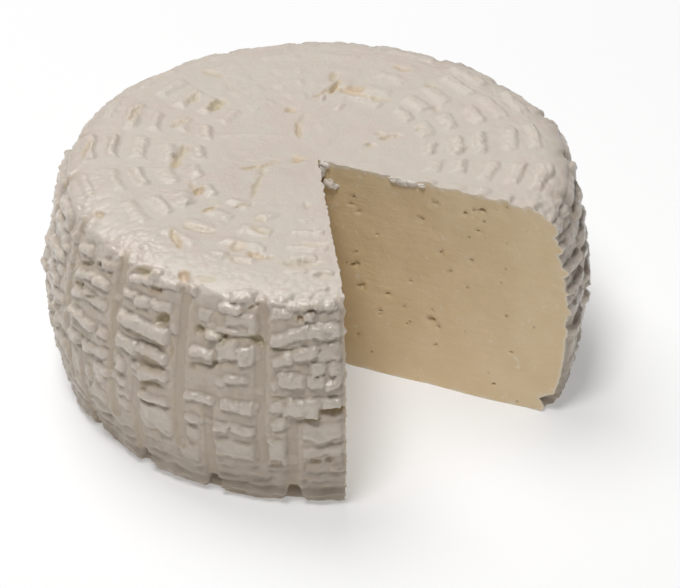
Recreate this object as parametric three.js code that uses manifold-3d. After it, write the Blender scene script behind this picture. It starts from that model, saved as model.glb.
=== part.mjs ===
// A fresh cheese wheel pressed in a slotted basket mould, with a sixth of it cut out.
// It stands on its flat base: millimetres, +Z up, the origin at the middle of the base.
// The rind carries the basket's imprint. The basket's upright posts leave grooves, and
// between them the curd has swelled out through rows of slots as short level bars. The
// grooves run over the shoulder onto the top, where rings of the same slots show faintly.
import * as THREE from 'three';
import { ParametricGeometry } from 'three/addons/geometries/ParametricGeometry.js';
import { mergeVertices } from 'three/addons/utils/BufferGeometryUtils.js';
import Module from 'manifold-3d';

// Driving dimensions of the wheel, in mm and degrees; azimuths turn left from +X
const DIAMETER = 200; // across the bulge, over the bars
const HEIGHT = 86.4; // of the smooth middle of the top
const BULGE_HEIGHT = 36; // where the side is widest
const TOP_DRAW = 9; // how far the side draws in from the bulge to the top
const BASE_DRAW = 6.5; // and from the bulge to the base
const SHOULDER_RUN = 17; // the rounded upper edge, measured inwards
const SHOULDER_DROP = 4.5; // and downwards
const HEEL_RUN = 5; // the rounded lower edge, measured inwards
const HEEL_RISE = 7; // and upwards
const NOTCH_START = -90; // azimuth of one cut face
const NOTCH_ANGLE = 60.5; // from there to the other cut face

// The basket's imprint
const BAYS = 20; // posts around the wheel
const POST_AZIMUTH = 1.4; // of one upper post
const POST_HALF_WIDTH = 2; // degrees, from a groove's bottom to its edge
const POST_DEPTH = 0.8;
const UPPER_POST_FOOT = 20; // height where the upper posts end
const LOWER_POST_HEAD = 42; // height where the lower posts end
const LOWER_POST_SHIFT = 6.8; // degrees, from an upper post to the next lower one
const TOP_POST_LEAN = -4; // degrees, that the posts have turned once they reach the top
const SLOT_ROWS = 8; // up the side
const FIRST_SLOT_HEIGHT = 19;
const SLOT_PITCH = 8.7;
const BAR_RISE = 1.7; // how far a bar stands out of the side
const SLOT_RINGS = 5; // on the top
const OUTER_RING_RADIUS = 83;
const RING_PITCH = 9.4;
const RING_RISE = 0.7;
const CREST_SHARE = 0.2; // of the pitch, from a bar's middle to the end of its flat crest
const HEEL_DEPTH = 2.6; // of the groove that a lower post leaves in the lower edge
const BAR_UNEVENNESS = 0.45; // of a bar's rise, the most it is more or less than the others

// Broad swells and dents of the soft wheel: where, how wide and how far they stand out
const SWELLS = [
  { azimuth: 174, height: 48, halfAngle: 5, halfHeight: 7, rise: 2 },
  { azimuth: 97, height: HEIGHT, halfAngle: 5, halfHeight: 14, rise: -1.9 },
  { azimuth: 14, height: HEIGHT, halfAngle: 8, halfHeight: 16, rise: 1.3 },
  { azimuth: 124, height: HEIGHT, halfAngle: 5, halfHeight: 12, rise: -1.2 },
  { azimuth: 212, height: 0, halfAngle: 7, halfHeight: 12, rise: -1.6 },
];

const RADIUS = DIAMETER / 2 - BAR_RISE; // of the plain outline, under the bars
const BAY_ANGLE = 360 / BAYS;
const SHOULDER_HEIGHT = HEIGHT - SHOULDER_DROP;
const RIM_RADIUS = sideRadius(SHOULDER_HEIGHT);
const FLAT_TOP_RADIUS = RIM_RADIUS - SHOULDER_RUN;
const FLAT_BASE_RADIUS = sideRadius(HEEL_RISE) - HEEL_RUN;

// Barrel side: the radius falls off from the bulge with the square of the height from it.
function sideRadius(height) {
  if (height > BULGE_HEIGHT) {
    const share = (height - BULGE_HEIGHT) / (HEIGHT - BULGE_HEIGHT);
    return RADIUS - TOP_DRAW * share ** 2;
  }
  const share = (BULGE_HEIGHT - height) / BULGE_HEIGHT;
  return RADIUS - BASE_DRAW * share ** 2;
}

// Top: level in the middle, a quarter of an ellipse over the shoulder.
function topHeight(radius) {
  const share = Math.max(0, radius - FLAT_TOP_RADIUS) / SHOULDER_RUN;
  return SHOULDER_HEIGHT + SHOULDER_DROP * Math.sqrt(Math.max(0, 1 - share ** 2));
}

// A row of the rind's surface: its place on the plain outline and the way it is pushed out, the
// bar's rise and which row of slots it is from, how deep the posts of each tier press in, or
// null where that tier has none, how far the posts lean, and the share of the swells it takes.
function surfaceRow(radius, height, fields) {
  const plain = { out: [1, 0], bar: 0, slot: 0, upper: null, lower: null, lean: 0, swelling: 1 };
  return { radius, height, ...plain, ...fields };
}

// The flat base, then the rounded lower edge, which the lower posts have notched.
function baseRows() {
  const heelAngles = [20, 55, 90];
  const heel = heelAngles.map((degrees) => {
    const angle = THREE.MathUtils.degToRad(degrees);
    const radius = FLAT_BASE_RADIUS + HEEL_RUN * Math.sin(angle);
    const height = HEEL_RISE * (1 - Math.cos(angle));
    return surfaceRow(radius, height, { out: [Math.sin(angle), -Math.cos(angle)], lower: HEEL_DEPTH });
  });
  const flat = [0, FLAT_BASE_RADIUS].map((radius) => surfaceRow(radius, 0, { swelling: 0 }));
  return [...flat, ...heel];
}

// Up the side: for each row of slots a valley and the two edges of the bar's crest.
function sideRows() {
  const rows = [];
  for (let slot = 0; slot < SLOT_ROWS; slot += 1) {
    const middle = FIRST_SLOT_HEIGHT + slot * SLOT_PITCH;
    const valley = middle - SLOT_PITCH / 2;
    const crests = [middle - CREST_SHARE * SLOT_PITCH, middle + CREST_SHARE * SLOT_PITCH];
    for (const height of [valley, ...crests]) {
      rows.push(surfaceRow(sideRadius(height), height, {
        bar: height === valley ? 0 : BAR_RISE,
        slot,
        upper: height > UPPER_POST_FOOT ? POST_DEPTH : null,
        lower: height < LOWER_POST_HEAD ? POST_DEPTH : null,
      }));
    }
  }
  return rows;
}

// Over the shoulder and across the top: rings of slots, then the smooth middle.
function topRows() {
  const rows = [];
  for (let ring = 0; ring < SLOT_RINGS; ring += 1) {
    const crest = OUTER_RING_RADIUS - ring * RING_PITCH;
    for (const radius of [crest + RING_PITCH / 2, crest]) {
      const onTop = Math.min(1, (RIM_RADIUS - radius) / SHOULDER_RUN);
      rows.push(surfaceRow(radius, topHeight(radius), {
        out: [0, 1],
        bar: radius === crest ? RING_RISE : 0,
        slot: SLOT_ROWS + ring,
        upper: POST_DEPTH * (1 - onTop),
        lean: TOP_POST_LEAN * onTop,
        swelling: 1 - onTop,
      }));
    }
  }
  const smoothRadius = OUTER_RING_RADIUS - (SLOT_RINGS - 0.5) * RING_PITCH;
  const smooth = [smoothRadius, 0].map((radius) => surfaceRow(radius, HEIGHT, {
    lean: TOP_POST_LEAN,
    swelling: 0,
  }));
  return [...rows, ...smooth];
}

// Columns around the wheel: the two edges and the bottom of each post's groove, in every bay.
function surfaceColumns() {
  const columns = [];
  for (let bay = 0; bay < BAYS; bay += 1) {
    for (const tier of ['upper', 'lower']) {
      const shift = tier === 'lower' ? LOWER_POST_SHIFT : 0;
      for (const side of [-1, 0, 1]) {
        const azimuth = POST_AZIMUTH + bay * BAY_ANGLE + shift + side * POST_HALF_WIDTH;
        columns.push({ azimuth, groove: side === 0 ? tier : null, bay });
      }
    }
  }
  return columns;
}

// A repeatable number from -1 to 1 for one bar, from its bay and its row of slots.
function unevenness(bay, slot) {
  const wave = Math.sin(bay * 12.9898 + slot * 78.233) * 43758.5453;
  return 2 * (wave - Math.floor(wave)) - 1;
}

// Sum of the broad swells at a place: each falls off as a bell in angle and in height.
function swell(azimuth, height) {
  let rise = 0;
  for (const bump of SWELLS) {
    const turn = THREE.MathUtils.euclideanModulo(azimuth - bump.azimuth + 180, 360) - 180;
    const along = turn / bump.halfAngle;
    const up = (height - bump.height) / bump.halfHeight;
    rise += bump.rise * Math.exp(-(along ** 2) - up ** 2);
  }
  return rise;
}

// How far the surface stands out of the plain outline at one row and column.
function relief(row, column) {
  const grooveDepth = column.groove === null ? null : row[column.groove];
  if (grooveDepth !== null) {
    return -grooveDepth;
  }
  return row.bar * (1 + BAR_UNEVENNESS * unevenness(column.bay, row.slot));
}

// The whole wheel's rind, from the middle of the base round the side to the middle of the top.
function rindGeometry() {
  const rows = [...baseRows(), ...sideRows(), ...topRows()];
  const columns = surfaceColumns();
  const place = (u, v, target) => {
    const row = rows[Math.round(v * (rows.length - 1))];
    const column = columns[Math.round(u * columns.length) % columns.length];
    const azimuth = column.azimuth + row.lean;
    const push = relief(row, column);
    const spread = row.swelling * swell(azimuth, row.height);
    const radius = row.radius + row.out[0] * push + spread;
    const angle = THREE.MathUtils.degToRad(azimuth);
    target.set(radius * Math.cos(angle), radius * Math.sin(angle), row.height + row.out[1] * push);
  };
  return new ParametricGeometry(place, columns.length, rows.length - 1);
}

// The slice taken out: an upright wedge from the axis, reaching past the rind on every side.
function notchGeometry() {
  const reach = DIAMETER;
  const margin = 10;
  const outline = new THREE.Shape([new THREE.Vector2(0, 0)]);
  for (const turn of [0, NOTCH_ANGLE]) {
    const angle = THREE.MathUtils.degToRad(NOTCH_START + turn);
    outline.lineTo(reach * Math.cos(angle), reach * Math.sin(angle));
  }
  outline.closePath();
  const wedge = new THREE.ExtrudeGeometry(outline, { depth: HEIGHT + 2 * margin, bevelEnabled: false });
  return wedge.translate(0, 0, -margin);
}

// A closed mesh with its shared vertices merged and the folded triangles at the poles left out.
function toSolid(wasm, geometry) {
  geometry.deleteAttribute('normal');
  geometry.deleteAttribute('uv');
  const merged = mergeVertices(geometry);
  const corners = merged.index.array;
  const kept = [];
  for (let first = 0; first < corners.length; first += 3) {
    const [a, b, c] = corners.slice(first, first + 3);
    if (a !== b && b !== c && c !== a) {
      kept.push(a, b, c);
    }
  }
  return new wasm.Manifold(new wasm.Mesh({
    numProp: 3,
    vertProperties: new Float32Array(merged.attributes.position.array),
    triVerts: new Uint32Array(kept),
  }));
}

function toGeometry(solid) {
  const mesh = solid.getMesh();
  const geometry = new THREE.BufferGeometry();
  geometry.setAttribute('position', new THREE.Float32BufferAttribute(mesh.vertProperties, 3));
  geometry.setIndex(new THREE.Uint32BufferAttribute(mesh.triVerts, 1));
  geometry.computeVertexNormals();
  return geometry;
}

const wasm = await Module();
wasm.setup();

const rind = new THREE.MeshStandardMaterial({ color: 0xd3cabd, roughness: 0.55, metalness: 0 });
const wheel = toSolid(wasm, rindGeometry()).subtract(toSolid(wasm, notchGeometry()));
const cheese = new THREE.Mesh(toGeometry(wheel), rind);
cheese.name = 'cheese';

const group = new THREE.Group();
group.add(cheese);

export default group;
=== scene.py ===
"""Looks of a fresh cheese wheel, pressed in a slotted basket mould, with a sixth cut out.

The wheel is one closed surface worked out in millimetres: a barrel outline turned about +Z,
with the basket's imprint, the curd's lumps, holes and cracks added along its normals, and a
flat cut face at each side of the notch. Two finishes dress it, the rind and the paste.

Azimuths are in degrees, turned left from +X. A place on the rind is given by its azimuth and
by how many millimetres up the outline it lies.
"""

import logging
import math
from dataclasses import dataclass, replace
from enum import Enum

import bpy
import numpy as np
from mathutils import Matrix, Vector
from mathutils.geometry import delaunay_2d_cdt


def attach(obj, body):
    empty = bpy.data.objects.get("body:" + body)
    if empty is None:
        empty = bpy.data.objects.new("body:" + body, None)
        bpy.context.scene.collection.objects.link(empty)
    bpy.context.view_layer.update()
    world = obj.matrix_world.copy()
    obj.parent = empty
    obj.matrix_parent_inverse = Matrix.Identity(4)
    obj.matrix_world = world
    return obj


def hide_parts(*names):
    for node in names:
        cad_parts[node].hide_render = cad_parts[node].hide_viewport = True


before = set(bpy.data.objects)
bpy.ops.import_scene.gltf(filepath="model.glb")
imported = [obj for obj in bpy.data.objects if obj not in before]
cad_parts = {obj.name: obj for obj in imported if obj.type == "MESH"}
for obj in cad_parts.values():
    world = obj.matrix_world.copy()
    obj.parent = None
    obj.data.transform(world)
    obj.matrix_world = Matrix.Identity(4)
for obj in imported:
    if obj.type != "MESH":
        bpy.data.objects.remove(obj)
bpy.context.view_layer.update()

Array = np.ndarray
Colour = tuple[float, float, float]
Range = tuple[float, float]
Socket = bpy.types.NodeSocket
Material = bpy.types.Material
Piece = bpy.types.Object
MM = 0.001  # metres in a millimetre
BODY = "root"
NODE = "cheese"
RIND, PASTE = 0, 1  # numbers of the wheel's two finishes
UPWARDS = np.array([0.0, 0.0, 1.0])
log = logging.getLogger("cheese")


# ---------------------------------------------------------------------------- numbers

def smooth(low: float, high: float, value: Array) -> Array:
    """Rise gently from 0 to 1 as a value goes from low to high.

    Formula: with t the clipped share of the way, 3 t squared less 2 t cubed.

    Args:
        low: Value where the rise starts.
        high: Value where it ends; it may be the lower of the two.
        value: Where to work it out.

    Returns:
        The rise at each value.
    """
    share = np.clip((value - low) / (high - low), 0.0, 1.0)
    return share * share * (3.0 - 2.0 * share)


def bell(value: Array, width: float) -> Array:
    """Give 1 at a value of 0, falling off as exp(-(value / width) squared)."""
    return np.exp(-((value / width) ** 2))


def turn_from(azimuth: Array, middle: float) -> Array:
    """Give the turn from a direction, from -180 to 180 degrees."""
    return (azimuth - middle + 180.0) % 360.0 - 180.0


@dataclass(frozen=True)
class Noise:
    """Repeatable noise in space: the same points and seed always give the same values.

    Attributes:
        seed: Chooses one noise among many.
    """

    AXIS_FACTORS = (0x9E3779B97F4A7C15, 0xC2B2AE3D27D4EB4F, 0x165667B19E3779F9)
    MIXER = 0xD6E8FEB86659FD93
    CHANNELS = 64
    KEPT_BITS = 24
    SPREAD = 1.8  # brings the sum of the slopes to about 1 at the most

    seed: int

    def draw(self, cells: Array, channel: int = 0) -> Array:
        """Give each cell of a whole-number grid its own number from 0 to 1.

        Formula: the indices are multiplied by large odd numbers and mixed by exclusive or,
        then mixed twice more with their own upper bits, and the top 24 bits are kept.

        Args:
            cells: Indices of the cells, in the last axis.
            channel: Chooses one of a cell's several numbers.

        Returns:
            One number for each cell.
        """
        factors = np.array(self.AXIS_FACTORS, np.uint64)
        whole = np.asarray(cells).astype(np.int64).astype(np.uint64)
        mixed = np.bitwise_xor.reduce(whole * factors[: whole.shape[-1]], axis=-1)
        mixed = mixed ^ np.uint64(((self.seed * self.CHANNELS + channel + 1) * self.MIXER) % 2**64)
        for _ in range(2):
            mixed = (mixed ^ (mixed >> np.uint64(32))) * np.uint64(self.MIXER)
        return (mixed >> np.uint64(64 - self.KEPT_BITS)).astype(float) / 2.0**self.KEPT_BITS

    def waves(self, points: Array, size: float) -> Array:
        """Smooth noise from about -1 to 1, with bumps about as wide as size.

        Formula: each corner of a point's cell has a random slope; the heights that the eight
        slopes give at the point are blended by a quintic ease along each axis.

        Args:
            points: Places, with x, y and z in the last axis.
            size: Width of a cell, in the points' unit.

        Returns:
            One value for each point.
        """
        scaled = points / size
        cell = np.floor(scaled)
        inside = scaled - cell
        ease = inside**3 * (inside * (inside * 6.0 - 15.0) + 10.0)
        total = np.zeros(points.shape[:-1])
        for corner in np.ndindex(2, 2, 2):
            offset = np.array(corner, float)
            weight = np.prod(np.where(offset > 0.5, ease, 1.0 - ease), axis=-1)
            slopes = np.stack([self.draw(cell + offset, axis) for axis in range(3)], axis=-1)
            total += weight * np.sum((2.0 * slopes - 1.0) * (inside - offset), axis=-1)
        return self.SPREAD * total

    def pebbles(self, points: Array, size: float) -> tuple[Array, Array]:
        """Split space into rounded cells, as packed curds are.

        Formula: each cell of a grid holds one seed at a random place, and the two nearest
        seeds are looked for in the 27 cells around a point.

        Args:
            points: Places, with x, y and z in the last axis.
            size: Width of a cell, in the points' unit.

        Returns:
            The dome of the cell the point is in, 1 in its middle and 0 at a cell's width
            away, and the share of the way to the crease between cells, 0 on the crease.
        """
        scaled = points / size
        cell = np.floor(scaled)
        nearest = np.full(points.shape[:-1], 9.0)
        second = nearest.copy()
        for corner in np.ndindex(3, 3, 3):
            where = cell + np.array(corner, float) - 1.0
            seed = where + np.stack([self.draw(where, axis) for axis in range(3)], axis=-1)
            gap = np.linalg.norm(seed - scaled, axis=-1)
            second = np.minimum(second, np.maximum(nearest, gap))
            nearest = np.minimum(nearest, gap)
        return 1.0 - np.minimum(nearest, 1.0) ** 2, second - nearest


@dataclass(frozen=True)
class Layer:
    """One layer of noise.

    Attributes:
        seed: Chooses the noise.
        size: Width of its bumps, mm.
        height: About how far it reaches to either side.
        squash: How many times less high than wide its bumps are.
    """

    seed: int
    size: float
    height: float = 1.0
    squash: float = 1.0

    def over(self, points: Array) -> Array:
        """Give the layer's value at each point."""
        stretch = np.array([1.0, 1.0, self.squash])
        return self.height * Noise(self.seed).waves(points * stretch, self.size)


def layered(points: Array, *layers: Layer) -> Array:
    """Sum layers of noise."""
    return sum(layer.over(points) for layer in layers)


# ---------------------------------------------------------------------------- shape

@dataclass(frozen=True)
class Rows:
    """Rows of the rind's grid, from the middle of the base round the side to the top's middle.

    Attributes:
        radius: Distance from the axis on the plain outline, mm.
        height: Height above the base, mm.
        out: Unit normal of the outline, as radial and upward shares.
        up: Millimetres up the outline, the same as the height at the bulge; over the shoulder
            it goes on growing towards the top's middle.
        step: How many columns the row moves on at a time: 1, 2, 4 or 8.
    """

    radius: Array
    height: Array
    out: Array
    up: Array
    step: Array


@dataclass(frozen=True)
class Outline:
    """Half section of the plain wheel, under the bars, in millimetres.

    A step is how many columns a row moves on at a time. A zone of the top is its inner radius,
    its number of rows and their step.
    """

    bulge_radius: float = 98.3
    bulge_height: float = 36.0
    height: float = 86.4
    top_draw: float = 9.0
    base_draw: float = 6.5
    shoulder_run: float = 17.0
    shoulder_drop: float = 4.5
    heel_run: float = 5.0
    heel_rise: float = 7.0
    side_rows: int = 96
    shoulder_rows: int = 29
    heel_rows: int = 7
    base_radii: tuple[float, ...] = (0.0, 5.0, 10.0, 20.0, 32.0, 44.0, 56.0, 68.0, 77.0, 83.0)
    base_steps: tuple[int, ...] = (8, 8, 8, 4, 4, 2, 2, 2, 2, 1)
    top_zones: tuple[tuple[float, int, int], ...] = ((42.0, 32, 1), (20.0, 20, 2), (8.0, 7, 4), (0.0, 3, 8))

    def side_radius(self, height: Array) -> Array:
        """Give the radius of the barrel side.

        Formula: it draws in with the square of the share of the way from the bulge.

        Args:
            height: Heights above the base, mm.

        Returns:
            The radius at each height, mm.
        """
        above = (height - self.bulge_height) / (self.height - self.bulge_height)
        below = (self.bulge_height - height) / self.bulge_height
        upper = self.top_draw * np.maximum(above, 0.0) ** 2
        return self.bulge_radius - upper - self.base_draw * np.maximum(below, 0.0) ** 2

    @property
    def flat_top_radius(self) -> float:
        """Radius of the level top, inside the shoulder."""
        rim_radius = float(self.side_radius(np.array(self.height - self.shoulder_drop)))
        return rim_radius - self.shoulder_run

    @property
    def flat_base_radius(self) -> float:
        """Radius of the flat that the wheel stands on."""
        return float(self.side_radius(np.array(self.heel_rise))) - self.heel_run

    def rows(self) -> Rows:
        """Lay the rows along the outline.

        Formula: the base and the top are level, the heel and the shoulder are quarters of
        ellipses, and the side is the barrel curve. Over the shoulder the rows are an even way
        apart. Towards the axis they grow coarser, each zone with half the columns of the one
        before.

        Returns:
            The rows, with normals from the outline's own slope.
        """
        base = np.array(self.base_radii)
        heel = np.radians(np.linspace(0.0, 90.0, self.heel_rows + 1))
        side = np.linspace(self.heel_rise, self.height - self.shoulder_drop, self.side_rows)[1:]
        turn = self._shoulder_turns()
        starts = (self.flat_top_radius, *(zone[0] for zone in self.top_zones))
        zones = [(start, *zone) for start, zone in zip(starts, self.top_zones)]
        top = np.concatenate([np.linspace(start, end, count + 1)[1:] for start, end, count, _ in zones])
        radius = np.concatenate([
            base,
            self.flat_base_radius + self.heel_run * np.sin(heel),
            self.side_radius(side),
            self.flat_top_radius + self.shoulder_run * np.cos(turn),
            top,
        ])
        height = np.concatenate([
            np.zeros_like(base),
            self.heel_rise * (1.0 - np.cos(heel)),
            side,
            self.height - self.shoulder_drop * (1.0 - np.sin(turn)),
            np.full_like(top, self.height),
        ])
        full = np.ones(len(heel) + len(side) + len(turn), int)
        step = np.concatenate([self.base_steps, full, *([step] * count for _, _, count, step in zones)])
        path = np.stack([radius, height], axis=-1)
        climb = gone_along(path)
        slope = np.gradient(path, climb, axis=0)
        out = np.stack([slope[:, 1], -slope[:, 0]], axis=-1)
        out /= np.linalg.norm(out, axis=-1, keepdims=True)
        first_side = len(base) + len(heel)
        at_bulge = np.interp(self.bulge_height, side, climb[first_side:first_side + len(side)])
        return Rows(radius, height, out, climb - at_bulge + self.bulge_height, step)

    def _shoulder_turns(self) -> Array:
        """Give the angles of the shoulder's rows, in radians, so that they lie evenly."""
        every = np.radians(np.arange(0.0, 91.0))
        bow = np.stack([self.shoulder_run * np.cos(every), self.shoulder_drop * np.sin(every)], axis=-1)
        gone = gone_along(bow)
        return np.interp(np.linspace(0.0, gone[-1], self.shoulder_rows + 1)[1:], gone, every)


def gone_along(path: Array) -> Array:
    """Give how far along a path each of its points lies."""
    return np.concatenate([[0.0], np.cumsum(np.linalg.norm(np.diff(path, axis=0), axis=-1))])


@dataclass(frozen=True)
class Notch:
    """The slice taken out, from one cut face round to the other, in degrees from +X."""

    start: float = -90.0
    angle: float = 60.5

    @property
    def first(self) -> float:
        """Azimuth where the rind starts."""
        return self.start + self.angle

    @property
    def last(self) -> float:
        """Azimuth where it ends, most of a turn later."""
        return self.start + 360.0


@dataclass(frozen=True)
class Grid:
    """The plain wheel's grid, before anything stands out of it.

    Attributes:
        rows: The outline's rows.
        azimuth: Azimuths of the columns.
        plain: Points of the plain wheel in millimetres, by row, column and axis.
        bend: How far noise moves every edge along and up the rind, mm.
    """

    BEND_ALONG = (Layer(1, 8.0, 0.9), Layer(2, 3.2, 0.65))
    BEND_UP = (Layer(3, 9.0, 0.8), Layer(4, 3.0, 0.6))
    BEND_REACH = 3.0
    LEAST_RADIUS = 6.0

    rows: Rows
    azimuth: Array
    plain: Array
    bend: Array

    @classmethod
    def over(cls, rows: Rows, azimuth: Array) -> "Grid":
        """Lay the grid: every row's radius turned to every column's azimuth.

        Args:
            rows: The outline's rows.
            azimuth: Azimuths of the columns.

        Returns:
            The grid, with the noise that bends every edge.
        """
        angle = np.radians(azimuth)[None, :]
        radius, height = rows.radius[:, None], rows.height[:, None]
        plain = np.stack(np.broadcast_arrays(radius * np.cos(angle), radius * np.sin(angle), height), -1)
        bend = np.stack([layered(plain, *cls.BEND_ALONG), layered(plain, *cls.BEND_UP)], axis=-1)
        return cls(rows, azimuth, plain, bend)

    def radius_at(self, up: float) -> float:
        """Give the radius of a place, but never one too near the axis to turn by."""
        return max(float(np.interp(up, self.rows.up, self.rows.radius)), self.LEAST_RADIUS)

    def window(self, azimuth: float, up: float, half_length: float, half_width: float) -> tuple[slice, slice]:
        """Find the rows and columns round a place, with room for the noise's bend.

        Args:
            azimuth: The place's azimuth.
            up: How far up the rind it is, mm.
            half_length: How far the window reaches along the rind, mm.
            half_width: How far it reaches up and down, mm.

        Returns:
            The rows and the columns.
        """
        turn = math.degrees((half_length + self.BEND_REACH) / self.radius_at(up))
        reach = half_width + self.BEND_REACH
        low, high = np.searchsorted(self.rows.up, [up - reach, up + reach])
        left, right = np.searchsorted(self.azimuth, [azimuth - turn, azimuth + turn])
        return slice(low, high), slice(left, right)


@dataclass(frozen=True)
class Bar:
    """Curd pressed out through a slot: a log, block or pad with rounded edges.

    Attributes:
        start: Azimuth of one end.
        end: Azimuth of the other.
        low: Its lower edge, millimetres up the rind.
        high: Its upper edge.
        rise: How far it stands out, mm.
        slant: How much higher the end lies than the start, mm.
        edge: Width of its rounded edge, mm.
        droop: How much narrower, and so steeper, the edge is below than above.
        ease: How far the edge's foot is eased into the flat, from 0 to 1.
    """

    CORNER = 1.3  # mm, the radius of its corners
    SLANT_REACH = 1.2  # how far past its ends the slant goes on, in half lengths
    LEAN_REACH = 0.8  # where the lean of its edge is whole, in half widths

    start: float
    end: float
    low: float
    high: float
    rise: float
    slant: float = 0.0
    edge: float = 1.7
    droop: float = 0.3
    ease: float = 0.0

    def stamp(self, field: Array, near: Array, grid: Grid) -> None:
        """Raise a field to this bar where the bar stands higher.

        Formula: the distance to a rectangle with rounded corners, from coordinates bent by
        noise; across the edge the height follows a quarter of an ellipse, blended with a
        smooth step where the foot is eased.

        Args:
            field: Height of all bars, mm, changed in place.
            near: Distance inside the nearest bar's edge, mm, less than 0 outside it,
                changed in place.
            grid: The plain wheel's grid.
        """
        azimuth, up = 0.5 * (self.start + self.end), 0.5 * (self.low + self.high)
        radius = grid.radius_at(up)
        half_length = 0.5 * math.radians(self.end - self.start) * radius
        half_width = 0.5 * (self.high - self.low)
        part = grid.window(azimuth, up, half_length, half_width + 0.5 * abs(self.slant))
        along = np.radians(grid.azimuth[part[1]] - azimuth)[None, :] * radius + grid.bend[part][..., 0]
        across = grid.rows.up[part[0]][:, None] - up + grid.bend[part][..., 1]
        across = across - 0.5 * self.slant * np.clip(along / half_length, -self.SLANT_REACH, self.SLANT_REACH)
        corner = min(half_width, half_length, self.CORNER)
        side = np.abs(along) - half_length + corner
        above = np.abs(across) - half_width + corner
        outside = np.hypot(np.maximum(side, 0.0), np.maximum(above, 0.0)) - corner
        inside = -(outside + np.minimum(np.maximum(side, above), 0.0))
        upper = smooth(-self.LEAN_REACH, self.LEAN_REACH, across / half_width)
        lean = 1.0 + self.droop * (1.5 * upper - 1.0)
        share = np.clip(inside / np.minimum(self.edge * lean, half_width), 0.0, 1.0)
        bulged, eased = np.sqrt(1.0 - (1.0 - share) ** 2), smooth(0.0, 1.0, share)
        profile = (1.0 - self.ease) * bulged + self.ease * eased
        field[part] = np.maximum(field[part], self.rise * profile)
        near[part] = np.maximum(near[part], inside)


class Kind(Enum):
    """What a mark on the rind is."""

    HOLE = "hole"
    CRACK = "crack"
    LUMP = "lump"
    STAIN = "stain"


@dataclass(frozen=True)
class Mark:
    """One mark in the rind.

    Attributes:
        kind: What it is.
        azimuth: Degrees from +X.
        up: Millimetres up the rind.
        length: Along its own long way, mm.
        width: Across it, mm.
        depth: How far it sinks in, or stands out for a lump, mm.
        turn: Degrees that the long way is turned from level.
        stain: How yellow the whey has left it, from 0 to 1.
        rust: How much of the stain is orange, from 0 to 1.
    """

    kind: Kind
    azimuth: float
    up: float
    length: float
    width: float
    depth: float
    turn: float = 0.0
    stain: float = 0.0
    rust: float = 0.0


@dataclass(frozen=True)
class Swell:
    """A broad swell or dent of the soft wheel: a bell in azimuth and in height."""

    azimuth: float
    height: float
    half_angle: float
    half_height: float
    rise: float


SWELLS = (
    Swell(174.0, 48.0, 5.0, 7.0, 2.0),
    Swell(97.0, 86.4, 5.0, 14.0, -1.9),
    Swell(14.0, 86.4, 8.0, 16.0, 1.3),
    Swell(124.0, 86.4, 5.0, 12.0, -1.2),
    Swell(212.0, 0.0, 7.0, 12.0, -1.6),
)

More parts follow.
